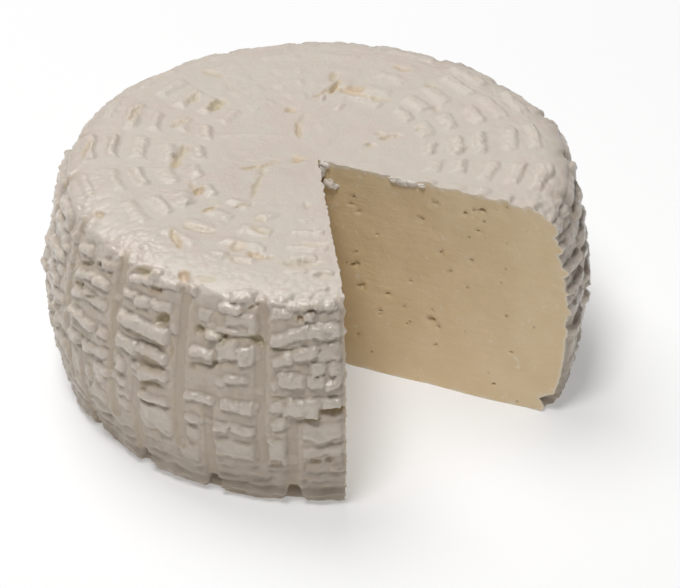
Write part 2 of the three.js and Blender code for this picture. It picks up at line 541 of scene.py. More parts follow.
# Bars of the side beside the cut and left of it, each placed on its own: azimuths of its two
# ends, its lower and upper edge, its rise and, where they aren't plain, its slant and edge.
FRONT_BARS = tuple(Bar(*sizes) for sizes in (
    # beside the cut
    (257.3, 270.6, 82, 86.2, 1.6), (264.6, 266.6, 90, 92.8, 0.8), (267.4, 270.6, 82.6, 88, 1.9),
    (253.9, 258.7, 78.4, 82.4, 1.2), (260.7, 263.6, 77.7, 81.6, 1.5, -0.6),
    (254.3, 262.3, 69.8, 74.6, 1.6, 3.8), (262, 270.6, 72.2, 77.4, 1.9, 0.6),
    (254.6, 259.2, 61.2, 65.2, 1.4, 2.6), (259, 265.2, 64.6, 69, 1.5, 2.8),
    (264.2, 268.9, 63.6, 70.4, 0.9, 0, 3), (256.1, 261.3, 53.4, 58.5, 2.1),
    (261.6, 265.5, 53.6, 58.4, 1.7), (262.7, 266, 58.6, 63.2, 1.2), (265.5, 269.4, 52.8, 57.2, 1.5, 3.2),
    (266.6, 270.4, 58, 63, 0.9), (254.3, 256, 50.6, 54.4, 0.9),
    (257.9, 264.7, 41.6, 49.3, 2.3, 0, 1.6), (264.7, 270.6, 45.2, 49.3, 1.9),
    (254.2, 257.3, 42.2, 46.6, 1.3), (257, 258.8, 39.8, 45.6, 1), (254.3, 258.2, 35.2, 40, 1.4, 2.6),
    (261.3, 270.6, 32, 39.2, 0.9, 1, 3), (261.3, 267, 31.6, 34, 1.6, 0.2),
    (265.6, 270.6, 32.4, 35, 1.4, 1.2), (253.5, 257.8, 21.6, 30.6, 1.6, 0, 2.6),
    (253.6, 255.6, 28.8, 31.4, 1.7), (260.9, 270.6, 24.4, 29, 1.1, 0, 1.6),
    (256.7, 260.5, 19, 24.2, 1), (261.8, 270.6, 9.2, 15.6, 0.5, 0, 2),
    (254, 258, 9, 17, 0.5, 0, 3),
    # between the last two upper posts
    (242, 248.5, 78.3, 81.8, 1.4, 0.8), (245, 250, 83, 88, 1, 1.2),
    (244, 251.4, 74.2, 78.4, 0.9, 0, 2.2), (249.4, 251.8, 72.4, 77, 1.2),
    (240, 251.6, 70.6, 73, 0.7), (239.7, 243.6, 66.8, 70.5, 1.9),
    (242.8, 247.8, 60.8, 68.4, 1.5, 1.4, 2.4), (247.4, 251.9, 60.4, 67, 1.5, 3.4),
    (239.3, 242.2, 60.2, 63.2, 1.7), (244.4, 249.6, 52.6, 55.8, 1.5, -0.6), (242.5, 244.6, 50.4, 54.4, 0.7),
    (250.2, 252.8, 48.2, 51.7, 1.1), (243.8, 251.8, 40.7, 45.6, 2), (241.9, 245.7, 30.9, 35.4, 1.8),
    (245.7, 251.5, 31.6, 35.7, 2), (241.7, 251.3, 20.3, 28.2, 1.2, 0, 3),
    # beside the post at 234
    (233, 237.2, 81.4, 85.8, 1.4), (237.6, 240.6, 73, 78, 0.8), (239.6, 243.2, 67.2, 70.7, 1.8),
    (236.6, 242.4, 59.8, 63.3, 1.9, 0.6), (235.5, 242.6, 41.7, 45.3, 1.8, 0.4),
    (235.5, 239.4, 32.2, 35.8, 1.7), (239.4, 243, 33, 36, 1.2),
    (235.8, 239.3, 25, 30.6, 0.8, 0, 2.4), (233.7, 238.8, 15, 21.8, 0.8, 0, 2.6),
    # between the posts at 216 and 234
    (223.7, 227.5, 82.4, 86.6, 1.3), (218.8, 226.2, 78.6, 82.2, 1.6, 3.4), (226, 232.5, 80.4, 84.3, 1.2),
    (216.3, 221.7, 71.6, 74.8, 1.3), (221.5, 226.2, 70.2, 74.6, 1.9, 1.6), (226.3, 231, 72.2, 75.5, 1.5),
    (214.6, 217, 66.6, 70.7, 1.4), (231.2, 233.4, 65.4, 69.8, 0.9), (216.2, 220.6, 60.2, 65.6, 2, 0.6),
    (219.6, 231.4, 60.8, 66, 2.3), (215.8, 223.4, 50.6, 56.4, 2.2, -0.4), (223.2, 231.4, 53, 57.2, 2.2),
    (222, 224.4, 44.8, 48, 1.4), (224, 231.7, 44.2, 48.8, 1.8, 3.8), (215.6, 219.6, 41.2, 47.4, 1.8),
    (224, 232, 35.1, 38.7, 1.5), (217.8, 220.8, 35.6, 39.4, 1.1),
    (223.4, 232.8, 23, 34.4, 1.1, 0, 3.4), (223, 224.8, 25, 29.2, 1.6),
    (225, 232.6, 21.8, 24.4, 1.3), (215.8, 220.6, 25.4, 29.2, 1), (216, 221, 30.4, 33.8, 0.9),
    # between the posts at 198 and 216
    (200, 205.2, 75.4, 79.2, 1.3, 2.2), (206.6, 212.6, 74.6, 79, 1, 0.8),
    (200.3, 207.6, 66.4, 70.4, 1.6, 4), (207.6, 213.6, 67.6, 71.8, 1.6, 0.6),
    (199.8, 204.8, 56.8, 60.8, 1.4, 2.4), (205, 213.4, 59.6, 63.8, 1.3, 1.6),
    (198, 210.2, 48.9, 53, 2, 0.8), (211, 214.4, 50, 53.7, 1.3, 1),
    (197.6, 208.8, 38.8, 43.2, 1.9, 0.6), (207.6, 214.4, 41.4, 45.2, 1.5, 2.6),
    (209.6, 217.6, 34.6, 39.2, 1.6, 1.6), (205.4, 208.6, 28.2, 33, 1.5),
    (209.6, 213.4, 31, 34.8, 1.3, 1.2), (203, 206, 20.4, 25.2, 1.1), (205.4, 213.4, 16.2, 19.4, 0.7),
    (208, 213.4, 22, 27.6, 0.8, 0, 2.4),
    # left of the post at 198
    (195.4, 199.6, 74.4, 79, 1.2, 0.6), (187.8, 192.4, 74, 78, 1.1, 1),
    (195.7, 200.2, 66.4, 70.7, 1.7), (190.2, 194.2, 66.8, 70.2, 1.3), (183.6, 189.8, 58, 62, 1.4, 1),
    (190, 193.4, 56.2, 60.2, 1.2), (181.6, 191, 49.4, 53.6, 1.6, 0.8),
    (189.6, 195.6, 46, 49.8, 1.4, 1.4), (182, 190, 39, 43, 1.7, 0.6),
    (191, 196.4, 37, 41, 1.2, 0.6), (183, 188.6, 27.4, 32.6, 1.4),
    (189.6, 196, 28.6, 33, 1.3, 1), (187, 196, 18, 23, 0.9, 0, 2.4),
))

# Bars of the top beside the cut, with the droop of their edges last.
TOP_BARS = tuple(Bar(*sizes) for sizes in (
    (255.8, 264.3, 106.7, 111.7, 0.9, 1.3, 1.3, 0), (252.9, 267.6, 124.5, 126.7, 0.8, 0.4, 1, 0),
    (253.9, 267.2, 114.2, 116.4, 0.9, 0.2, 1, 0), (254.5, 262, 133, 135.2, 0.5, 0, 1, 0),
    (262, 268.4, 97.4, 101, 0.8, -1.4, 1.6, 0), (255, 261, 98.6, 102.6, 0.6, 0.6, 1.6, 0),
))

# Single marks: azimuth, millimetres up, length, width, depth and, where they aren't 0, the
# turn, the stain and the rust.
MARK_SIZES = {
    Kind.HOLE: (
        (229.2, 69.4, 5, 4, 2.4, 22, 1), (238.3, 69.2, 3.2, 2.8, 2.1, 30, 0.9),
        (244.1, 68, 3.6, 2, 1.5, 80, 0.8), (242.3, 58.2, 2.8, 1.8, 1.8, 30, 0.8),
        (222, 83.2, 7.4, 2.8, 1.2, 10, 1), (226.6, 78.9, 5, 1.6, 1, 8, 0.7, 0.6),
        (260.4, 79, 2.4, 2.2, 1.6, -20, 0.9, 0.8), (263.6, 21.8, 4.4, 2.2, 1.4, -10, 0.3),
        (266.6, 22.2, 3, 1.8, 1.4, 10, 0.3), (227, 50, 11, 4, 0.7, 0, 0.5, 0.3),
        (226, 58.8, 16, 3, 0.5, 0, 0.35, 0.3), (225.4, 40.4, 4.4, 2.2, 0.9, 80, 0.7, 0.5),
        (208.2, 76.2, 3.6, 2, 2.2, 10, 0.3), (188, 35, 4, 3, 1.8, 30, 0.3),
        (118, 66, 5, 3.6, 2.6, 0, 0.8), (62, 71, 4.4, 3.4, 2.6, 10, 0.9),
        (6, 62, 4, 3.6, 2.4, 0, 0.7), (128.8, 121.7, 9, 3.2, 1.6, 8, 0.9),
        (131.3, 111.9, 9.5, 2.6, 1.1, 13, 0.5), (78.6, 115.4, 6.6, 2.4, 0.7, 84, 0.9),
        (45.8, 108.4, 3.6, 3, 0.8, 0, 0.7), (33.6, 118.6, 4.6, 2.6, 0.7, -30, 0.3),
        (98.8, 138.8, 3.4, 1.8, 0.7, 165, 0.6, 0.3), (100.6, 138.6, 3.4, 1.9, 1.1, 0, 0.9, 0.4),
        (23.6, 153.1, 3.4, 1.7, 1.3, 30, 0.6, 0.3), (32.9, 146.1, 2.4, 1.6, 1.1, 0, 0.6, 0.3),
        (25.7, 146.8, 3, 1.8, 1.5, 20, 0.8, 0.3), (25.9, 144.2, 2.2, 1.8, 1.2, 60, 0.5, 0.3),
        (23.4, 141.8, 2.8, 1.7, 1.3, 10, 0.6, 0.3), (23.6, 132.5, 2.6, 1.7, 1.1, -20, 0.6, 0.2),
        (200.6, 127, 4.6, 2.8, 1.4, -32, 1, 0.6), (242, 102.6, 6.4, 2.4, 0.6, 0, 0.3, 0.3),
        (241.4, 122.6, 6.4, 2, 0.7, 4, 0.9), (265.6, 97.8, 6.4, 2.2, 0.9, -6, 0.1),
        (260, 106, 13, 2, 0.8, 2, 0.4), (198.2, 90.2, 4.6, 2.6, 1.1, 10, 0.5, 0.6),
    ),
    Kind.CRACK: (
        (245.4, 69.9, 20, 1.9, 0.5, 1, 0.5), (251.2, 69.4, 6.4, 2.8, 1.7, -28, 1),
        (239.6, 56.5, 10, 1.6, 1, 6, 0.5), (262.2, 82.2, 6.4, 1.4, 0.9, -14, 0.5),
        (250, 81.8, 5, 1.2, 1.2, 34, 0.5, 0.4), (257.6, 67.6, 12, 1.2, 1, 2, 0.4),
        (264.4, 67.4, 5.4, 0.9, 0.7, 60, 0.3), (267.2, 44.1, 8.4, 2, 2.4, 2, 1, 0.4),
        (262.2, 40.4, 8, 1.4, 1.6, 14, 0.5), (256.4, 48.6, 6, 1.2, 0.8, 2, 0.9),
        (261.6, 20, 7, 1.3, 0.8, 84, 0.5), (255.4, 18.8, 6, 1.4, 0.9, 12, 0.3),
        (231.8, 59.2, 5, 1.4, 1, 86, 0.6, 0.4), (227.4, 42.6, 10, 1.6, 0.9, 8, 0.6),
        (227, 34.6, 7, 1.2, 0.8, -10, 0.3), (203.2, 72.4, 9, 1.6, 1.8, 34, 0.3),
        (207.6, 62, 5, 1.6, 1.4, 20, 0.3), (204.4, 38, 8, 1.6, 1.2, -4, 0.4),
        (206.6, 18.4, 7, 1.4, 1, -8, 0.3), (202, 62.6, 7, 1.8, 1.4, 20, 0.1),
        (150, 58, 12, 2, 2, 6, 0.5), (84, 40, 10, 1.8, 2, -8, 0.4),
        (33, 49, 9, 2, 2.2, 10, 0.5), (-14, 76, 9, 2.2, 2, 60, 0.3),
        (-24, 58, 8, 1.8, 1.6, 0, 0.5), (77, 122.8, 9, 2.2, 1.7, 80, 1, 0.6),
        (65.8, 126.2, 18.7, 1.8, 1.3, -9, 0.8, 0.4), (81, 126.8, 11.3, 1.6, 0.8, 43, 0.6, 0.4),
        (58.2, 103.3, 6.4, 2, 0.8, -11, 0.5, 1), (102.9, 152.3, 10, 2, 0.8, 76, 0.7, 0.4),
        (95.6, 146.6, 8, 2.6, 0.4, 60, 0.3), (186.3, 150.8, 7.4, 2.2, 0.8, 89, 0.8, 0.3),
        (182.1, 157.8, 7.8, 1.8, 0.7, 115, 0.6, 0.3), (213.5, 146.6, 15, 2, 0.8, 128, 0.6),
        (195.7, 153.5, 6.6, 1.6, 0.6, 162, 0.6), (196, 126.2, 4.4, 1.4, 0.8, -8, 0.7, 0.3),
        (245.8, 107.6, 6.4, 2.4, 1.2, -18, 1, 0.6), (221, 102, 9.6, 2.2, 1, -34, 0.9, 0.6),
        (224.6, 134.4, 7.6, 1.4, 1, 60, 0.4), (168.6, 125.2, 12, 2.4, 1.4, -10, 0.6, 0.1),
        (168.4, 90.2, 8, 2.2, 0.8, -6, 0.4, 0.8), (148.9, 101, 11, 2, 0.9, -2, 0.35, 0.6),
        (147.1, 118.4, 8.4, 2, 0.9, -6, 0.4, 0.7), (116.6, 101.8, 7.6, 1.8, 0.8, -56, 0.4, 0.4),
        (262.4, 117.6, 11.5, 1.8, 0.8, 3, 0.4), (256.5, 142.7, 4, 1.8, 0.8, -54, 0.3),
        (222.6, 112, 10, 2, 0.7, 23, 0.6), (215.4, 123.9, 5.6, 2.2, 0.9, 80, 0.5, 0.8),
    ),
    Kind.STAIN: (
        (231.8, 87.8, 4.6, 3.4, 0.7, -30, 1, 1), (237.2, 89.4, 6.4, 2.6, 0.3, 8, 0.8),
        (69, 123.2, 6, 4, 0.5, 30, 0.8, 1), (174.3, 168, 4.4, 3.6, 0.9, 0, 1, 0.8),
        (250, 107.8, 2.6, 2.2, 0.9, 0, 1), (238.4, 110.6, 5, 4.4, 0.4, 20, 0.6, 0.5),
        (237.3, 129.6, 4.4, 2, 0.3, 0, 0.8), (221.4, 111.8, 10, 3, 0.3, 8, 0.6),
        (177.6, 123.4, 4.6, 2.6, 0.8, -8, 1, 0.5), (259.8, 105.4, 12, 2, 0.5, 0, 0.6),
    ),
    Kind.LUMP: (
        (267.6, 18.6, 2.6, 2.2, 1.2), (82, 131.8, 4.4, 2.4, 0.9, 80),
        (71.8, 136.8, 5, 2, 0.8, 70), (66, 128.8, 12, 2.4, 0.5, -4),
        (245.8, 112.2, 4, 3, 0.8, -40), (172.6, 121.4, 4.8, 4.2, 0.9),
        (142.2, 143.5, 31, 1.5, 0.4, 122), (205.1, 118.3, 6, 5.4, 0.9, 60),
        (235.8, 102.7, 6.4, 5, 0.8, 28),
    ),
}
MARKS = tuple(Mark(kind, *sizes) for kind, group in MARK_SIZES.items() for sizes in group)


@dataclass(frozen=True)
class Rings:
    """Rings of slots that the basket has printed on the top, each slot as a soft pad.

    Attributes:
        plan: Azimuth, strength, slant in mm and shift inwards in mm, from place to place.
        droop: How much steeper a pad's outer edge is than its inner one, at droop_azimuth.
        shift: How far the rings lie off the axis, mm.
        dent: How far they are pushed in round dent_azimuth, mm.
        outer_end: Azimuth where rings wider than outer_radius stop, for the placed bars.
        end: Azimuth where the others stop, for the same reason.
    """

    LENGTHS = (0.8, 1.08)  # of the plan's length
    WIDTHS = (0.85, 1.15)  # of its width
    RISES = (0.45, 1.2)  # of its rise
    TURN_SPREAD = 0.7  # degrees
    RADIUS_SPREAD = 0.4  # mm
    SLANT_SPREAD = 0.5  # mm

    radii: tuple[float, ...] = (83.6, 74.0, 64.2, 54.2, 44.6)
    rise: float = 0.95
    plan: tuple[tuple[float, float, float, float], ...] = (
        (-30.0, 1.3, -1.8, 1.3), (-13.0, 1.3, -2.0, 1.2), (5.0, 1.3, -2.2, 2.6), (22.0, 1.0, -2.0, -1.0),
        (45.0, 0.8, -2.4, 0.0), (62.0, 0.4, -1.0, 0.0), (110.0, 0.35, 0.0, 0.0), (131.0, 0.9, 0.6, 0.0),
        (148.0, 1.3, 3.2, 0.0), (166.0, 1.4, 2.8, 0.0), (183.0, 1.4, 0.6, 0.0), (202.0, 1.2, 0.0, 0.0),
        (225.0, 0.7, 1.7, 0.0), (245.0, 0.7, 3.0, 0.0), (270.0, 0.5, 1.0, 0.0),
    )
    width: float = 5.4
    angle: float = 13.0
    droop: float = 0.6
    droop_azimuth: float = 20.0
    edge: float = 1.9
    ease: float = 0.75
    shift: float = 0.8
    dent: float = 4.0
    dent_azimuth: float = 225.0
    dent_angle: float = 17.0
    first_bay: int = -2
    last_bay: int = 15
    outer_radius: float = 80.0
    outer_end: float = 200.0
    end: float = 249.0

    def pads(self, middle_up: float, post_azimuth: float, bay: float, draw: np.random.Generator) -> list[Bar]:
        """Draw one pad in each bay of each ring.

        Formula: strength, slant and shift are read off the plan between its azimuths, and
        each pad's length, width, rise, slant and place vary about them.

        Args:
            middle_up: How far up the rind the top's middle is, mm.
            post_azimuth: Azimuth of a post where it reaches the top.
            bay: Angle from post to post.
            draw: Source of random numbers.

        Returns:
            The pads.
        """
        plan = np.array(self.plan).T
        pads = []
        for ring in self.radii:
            for number in range(self.first_bay, self.last_bay + 1):
                azimuth = post_azimuth + bay * (number + 0.5) + draw.normal(0.0, self.TURN_SPREAD)
                strength, slant, inwards = (float(np.interp(azimuth, plan[0], column)) for column in plan[1:])
                half_angle = 0.5 * self.angle * draw.uniform(*self.LENGTHS)
                off_axis = self.shift * math.cos(math.radians(azimuth))
                radius = ring - off_axis - inwards + draw.normal(0.0, self.RADIUS_SPREAD)
                radius -= self.dent * math.exp(-(((azimuth - self.dent_azimuth) / self.dent_angle) ** 2))
                half = 0.5 * self.width * draw.uniform(*self.WIDTHS)
                rise = self.rise * draw.uniform(*self.RISES) * strength
                slant += draw.normal(0.0, self.SLANT_SPREAD)
                if azimuth > (self.outer_end if ring > self.outer_radius else self.end):
                    continue
                up = middle_up - radius
                droop = self.droop * math.cos(math.radians(azimuth - self.droop_azimuth))
                pads.append(Bar(azimuth - half_angle, azimuth + half_angle, up - half, up + half,
                                rise, slant, self.edge, droop, self.ease))
        return pads


@dataclass(frozen=True)
class Basket:
    """The mould's imprint: upright posts with rows of slots between them.

    Attributes:
        top_post_lean: Degrees that the posts have turned once they reach the top.
        post_margin: Degrees from a post's middle to where a slot begins.
        lowest_share: Share of the rise that the lowest row has.
        low_reach: Height under which a row lies between the lower posts, mm.
        whole_share: Share of the slots that hold one long bar.
        missing_share: Share of the bars left out.
        last_start: Azimuth past which no drawn bar starts.
        last_end: Azimuth past which none goes on, because the placed bars take over.
        front_share: Share of their given rise that the placed bars have, above low_band.
        low_share: The same below it.
    """

    SPLITS = (0.25, 0.75)  # where a slot's bar is split, as a share of its length
    WIDTHS = (0.72, 1.2)  # of the plan's width
    RISES = (0.6, 1.25)  # of the plan's rise
    EDGES = (1.3, 2.4)  # mm
    STARTS = (-0.5, 0.9)  # degrees past the slot's own start
    ENDS = (-0.9, 0.5)  # degrees past its own end
    HEIGHT_SPREAD = 0.7  # mm
    SLANT_SPREAD = 0.9  # mm

    bays: int = 20
    post_azimuth: float = 0.3
    post_half_width: float = 2.0
    post_depth: float = 0.9
    upper_post_foot: float = 21.0
    lower_post_head: float = 40.0
    lower_post_shift: float = 6.6
    top_post_lean: float = -4.5
    heel_depth: float = 5.0
    first_slot: float = 19.0
    slot_pitch: float = 8.7
    slot_rows: int = 8
    post_margin: float = 1.4
    bar_rise: float = 1.7
    bar_width: float = 4.6
    lowest_share: float = 0.45
    low_reach: float = 33.0
    whole_share: float = 0.45
    split_gap: float = 0.25
    missing_share: float = 0.06
    first_bay: int = -2
    last_bay: int = 10
    last_start: float = 186.5
    last_end: float = 192.5
    front_share: float = 0.98
    low_share: float = 0.7
    low_band: Range = (16.0, 48.0)
    rings: Rings = Rings()

    @property
    def bay(self) -> float:
        """Degrees from post to post."""
        return 360.0 / self.bays

    def bars(self, rows: Rows) -> list[Bar]:
        """List all bars: the placed ones as they are, the others drawn with a fixed seed.

        Args:
            rows: The outline's rows.

        Returns:
            The bars of the side and the pads of the top.
        """
        draw = np.random.default_rng(20)
        gain = self.front_share - self.low_share
        shares = (self.low_share + gain * float(smooth(*self.low_band, bar.low)) for bar in FRONT_BARS)
        bars = [replace(bar, rise=bar.rise * share) for bar, share in zip(FRONT_BARS, shares)]
        bars += TOP_BARS
        bars += self._drawn_bars(draw)
        top_post = self.post_azimuth + self.top_post_lean
        return bars + self.rings.pads(rows.up[-1], top_post, self.bay, draw)

    def _drawn_bars(self, draw: np.random.Generator) -> list[Bar]:
        """Draw the bars of the bays that aren't placed one by one.

        Formula: in each bay, each row of slots has one bar or two shorter ones, whose ends,
        height, rise and slant vary about the plan's.

        Args:
            draw: Source of random numbers.

        Returns:
            The bars.
        """
        bars = []
        for number in range(self.first_bay, self.last_bay + 1):
            for row in range(self.slot_rows):
                up = self.first_slot + self.slot_pitch * row
                shift = self.lower_post_shift if up < self.low_reach else 0.0
                left = self.post_azimuth + shift + self.bay * number + self.post_margin
                right = left + self.bay - 2.0 * self.post_margin
                parts = ((left, right),)
                if draw.random() >= self.whole_share:
                    split = left + (right - left) * draw.uniform(*self.SPLITS)
                    parts = ((left, split), (split + self.split_gap, right))
                for start, end in parts:
                    middle = up + draw.normal(0.0, self.HEIGHT_SPREAD)
                    half = 0.5 * self.bar_width * draw.uniform(*self.WIDTHS)
                    share = self.lowest_share if row == 0 else 1.0
                    rise = self.bar_rise * draw.uniform(*self.RISES) * share
                    slant = draw.normal(0.0, self.SLANT_SPREAD)
                    start, end = start + draw.uniform(*self.STARTS), end + draw.uniform(*self.ENDS)
                    edge = draw.uniform(*self.EDGES)
                    if draw.random() > self.missing_share and start < self.last_start:
                        end = min(end, self.last_end)
                        bars.append(Bar(start, end, middle - half, middle + half, rise, slant, edge))
        return bars


@dataclass(frozen=True)
class Surface:
    """The wheel's rind as a grid of points, with what the finish needs to know about it.

    Attributes:
        points: Places in millimetres, by row, column and axis.
        masks: Masks from 0 to 1 by name: hollow in holes and cracks, an olive tint made darker
        the deeper they are as painted shade; stain where whey has yellowed the curd, and a
        yellow line along the posts' edges; rust where it is orange; post on the smooth posts;
        crest on the bars, also a painted highlight on them; gap between them, painted shade
        on a warmer tone; and wet where the rind is moist enough to shine.
    """

    points: Array
    masks: dict[str, Array]


@dataclass(frozen=True)
class Relief:
    """Everything that stands out of the plain outline or sinks into it.

    Attributes:
        crest_rise: How far a bar stands out where it counts as all crest, mm.
        gap_rise: The same where it no longer counts as a gap, mm.
        base_band: Where the base turns into the side, millimetres up the rind.
        top_band: Where the side turns into the top.
        fade_band: Where the posts and beads die away on the top.
    """

    basket: Basket = Basket()
    crease_depth: float = 0.35
    crease_width: float = 0.7
    lump_size: float = 5.2
    bead_size: float = 3.4
    crest_rise: float = 1.4
    gap_rise: float = 1.1
    layer_pitch: float = 4.6
    base_band: Range = (-4.0, 3.0)
    top_band: Range = (82.0, 92.0)
    fade_band: Range = (104.0, 92.0)
    bead_azimuth: float = 205.0
    bead_angle: float = 35.0
    wet_azimuth: float = 210.0
    wet_angle: float = 60.0

    def surface(self, rows: Rows, azimuths: Array) -> Surface:
        """Push the plain wheel's grid out along its normals.

        Formula: the height over the outline is the bars and pads of the imprint, less the
        posts' grooves, plus curd lumps, fine noise, the broad swells and the single marks.

        Args:
            rows: The outline's rows.
            azimuths: Azimuths of the columns.

        Returns:
            The finished grid and its masks.
        """
        grid = Grid.over(rows, azimuths)
        basket, up, turned = self.basket, rows.up[:, None], azimuths[None, :]
        on_top, standing = smooth(*self.top_band, up), smooth(*self.base_band, up)
        field = np.zeros(grid.plain.shape[:2])
        near = np.full(field.shape, -9.0)
        for bar in basket.bars(rows):
            bar.stamp(field, near, grid)
        upper, lower = self._posts(grid)
        tiers = [smooth(0.6, -0.1, tier - basket.post_half_width) * (1.0 - on_top) for tier in (upper, lower)]
        post = np.maximum(*tiers) * smooth(-1.0, 3.0, up) * smooth(*self.fade_band, up)
        crest = np.clip(field / self.crest_rise, 0.0, 1.0)
        marks, olive_and_shade, stain, rust = self._marks(grid)
        crease = self.crease_depth * (1.0 - 0.95 * on_top) * bell(near + 0.4, self.crease_width)
        groove = basket.post_depth * post + crease
        notch = smooth(9.0, 4.0, up) * smooth(4.2, 2.9, lower + 0.25 * np.maximum(up, 0.0))
        kept = 1.0 - 0.75 * post
        lumps = self._lumps(grid, on_top, post, crest)
        rise = standing * (field * kept - groove + self._layers(grid) * kept + lumps + marks
                           - basket.heel_depth * notch)
        swells = standing * (1.0 - on_top) * self._swells(turned, rows.height[:, None])
        spread, angle = rise * rows.out[:, :1] + swells, np.radians(turned)
        push = np.broadcast_arrays(spread * np.cos(angle), spread * np.sin(angle), rise * rows.out[:, 1:])
        points = grid.plain + np.stack(push, -1)
        points[..., 2] = np.maximum(points[..., 2], 0.0)
        # A patchy yellow line along both edges of each post, added to the stain mask.
        seam = bell(np.minimum(upper, lower) - 1.9, 0.6) * smooth(0.05, 0.5, Layer(21, 16.0).over(grid.plain))
        stain = np.maximum(stain, 0.8 * seam * (1.0 - on_top))
        # Painted shade: the gap mask darkens the side between the bars, on a warmer tone of the curd's own.
        gap = smooth(84.0, 76.0, up) * smooth(14.0, 24.0, up) * (
            1.0 - np.clip(field / self.gap_rise, 0.0, 1.0))
        left = bell(turn_from(turned, self.wet_azimuth), self.wet_angle)
        masks = {
            "olive_and_shade": olive_and_shade, "stain": stain, "rust": rust, "post": post * (1.0 - on_top), "crest": crest,
            "gap": gap * (1.0 - post), "wet": 1.0 - on_top * (0.9 - 0.5 * left),
        }
        return Surface(points, {name: mask * standing for name, mask in masks.items()})

    def _posts(self, grid: Grid) -> tuple[Array, Array]:
        """Find how far each place is from the nearest post of each tier.

        Formula: the azimuth from a post is folded into half a bay, turned into a length at
        the row's radius, and bent by slow noise. Past the end of a tier the distance grows
        as in a round end.

        Args:
            grid: The plain wheel's grid.

        Returns:
            The distances to the upper and the lower tier's posts, mm.
        """
        basket, up = self.basket, grid.rows.up[:, None]
        bay = basket.bay
        lean = basket.top_post_lean * smooth(80.0, 96.0, up)
        radius = np.maximum(grid.rows.radius[:, None], 1.0)
        distances = []
        for shift, past in (
            (0.0, np.maximum(basket.upper_post_foot - up, 0.0)),
            (basket.lower_post_shift, np.maximum(up - basket.lower_post_head, 0.0)),
        ):
            turn = grid.azimuth[None, :] - basket.post_azimuth - lean - shift
            folded = np.abs((turn + 0.5 * bay) % bay - 0.5 * bay)
            across = np.abs(np.radians(folded) * radius + 0.5 * grid.bend[..., 0])
            distances.append(np.hypot(across, past))
        return distances[0], distances[1]

    def _layers(self, grid: Grid) -> Array:
        """Give the curd under the bars its level layers.

        Formula: a wave with the height at the lower edge, flat noise everywhere on the side
        and flatter noise near the base.

        Args:
            grid: The plain wheel's grid.

        Returns:
            The height they add, mm.
        """
        plain, up = grid.plain, grid.rows.up[:, None]
        wave = np.cos(2.0 * math.pi * (up + grid.bend[..., 1]) / self.layer_pitch)
        broad = layered(plain, Layer(22, 10.0, 0.45, 2.4), Layer(23, 4.4, 0.35, 2.0))
        fibres = Layer(24, 8.0, 0.55, 3.6).over(plain)
        return 0.4 * smooth(19.0, 14.0, up) * wave + (
            broad * smooth(90.0, 80.0, up) + fibres * smooth(30.0, 16.0, up))

    def _lumps(self, grid: Grid, on_top: Array, post: Array, crest: Array) -> Array:
        """Add the curd's own lumps: packed grains, beads on the shoulder and fine noise.

        Formula: grains and beads are packed cells in space that is bent by noise. Torn and
        rough are slow noise that makes them stronger in some places than in others.

        Args:
            grid: The plain wheel's grid.
            on_top: Share that each row has of the top.
            post: Mask of the smooth posts.
            crest: Mask of the bars.

        Returns:
            The height they add, mm.
        """
        plain, up = grid.plain, grid.rows.up[:, None]
        warped = plain + np.stack([Layer(seed, 6.0).over(plain) for seed in (12, 25, 26)], axis=-1)
        rough = smooth(-0.35, 0.5, Layer(14, 34.0).over(plain))
        torn = smooth(0.05, 0.55, Layer(19, 15.0).over(plain))
        shoulder = smooth(68.0, 80.0, up) * smooth(*self.fade_band, up)
        left = bell(turn_from(grid.azimuth[None, :], self.bead_azimuth), self.bead_angle)
        level = smooth(100.0, 86.0, up) * (0.5 + 0.5 * smooth(12.0, 44.0, up))
        curd = self._grains(warped, 11, self.lump_size, 1.1, 0.14) * (0.16 + 0.26 * crest + 0.42 * torn)
        curd = curd * (level + 0.35 * torn * (1.0 - level))
        beads = self._grains(warped, 13, self.bead_size, 1.0, 0.16) * (
            shoulder * (0.12 + (0.35 + 0.4 * left) * rough)
            + 0.2 * torn * (1.0 - on_top) * smooth(10.0, 40.0, up))
        fine = layered(plain, Layer(15, 3.1, 0.32), Layer(16, 1.9, 0.22))
        fine = fine * (0.25 + 0.65 * smooth(90.0, 78.0, up) + 0.5 * crest)
        slow = layered(plain, Layer(17, 24.0, 0.5), Layer(18, 9.0, 0.35))
        return (curd + beads + fine) * (1.0 - 0.85 * post) + 0.5 * slow

    @staticmethod
    def _grains(places: Array, seed: int, size: float, height: float, crease: float) -> Array:
        """Give the height of packed grains in mm: domes with creases between them."""
        dome, apart = Noise(seed).pebbles(places, size)
        return height * (dome - 0.6) - 0.5 * smooth(crease, 0.0, apart)

    def _marks(self, grid: Grid) -> tuple[Array, Array, Array, Array]:
        """Sink or raise the single marks.

        Formula: a place is measured from the mark's middle along the mark's length and
        across it, both bent by noise; inside the ellipse of its length and width the
        surface sinks by the depth, with steep walls.

        Args:
            grid: The plain wheel's grid.

        Returns:
            The height they add and the masks of what is hollow, stained and rusty; the hollow mask grows with
            depth, for painted shade.
        """
        rise, olive_and_shade, stain, rust = (np.zeros(grid.plain.shape[:2]) for _ in range(4))
        for mark in MARKS:
            part, oval = self._oval(grid, mark)
            inside = smooth(1.6, 0.3, oval)
            halo = mark.stain * smooth(2.6, 0.4, oval)
            rise[part] += mark.depth * inside * (1.0 if mark.kind is Kind.LUMP else -1.0)
            if mark.kind in (Kind.HOLE, Kind.CRACK):
                # Deeper holes and cracks get more of the olive colour: painted shade in the hollow.
                open_share = min(1.0, (mark.depth / 3.2) ** 1.5)
                olive_and_shade[part] = np.maximum(olive_and_shade[part], inside * open_share)
            stain[part] = np.maximum(stain[part], halo)
            rust[part] = np.maximum(rust[part], halo * mark.rust)
        return rise, olive_and_shade, stain, rust

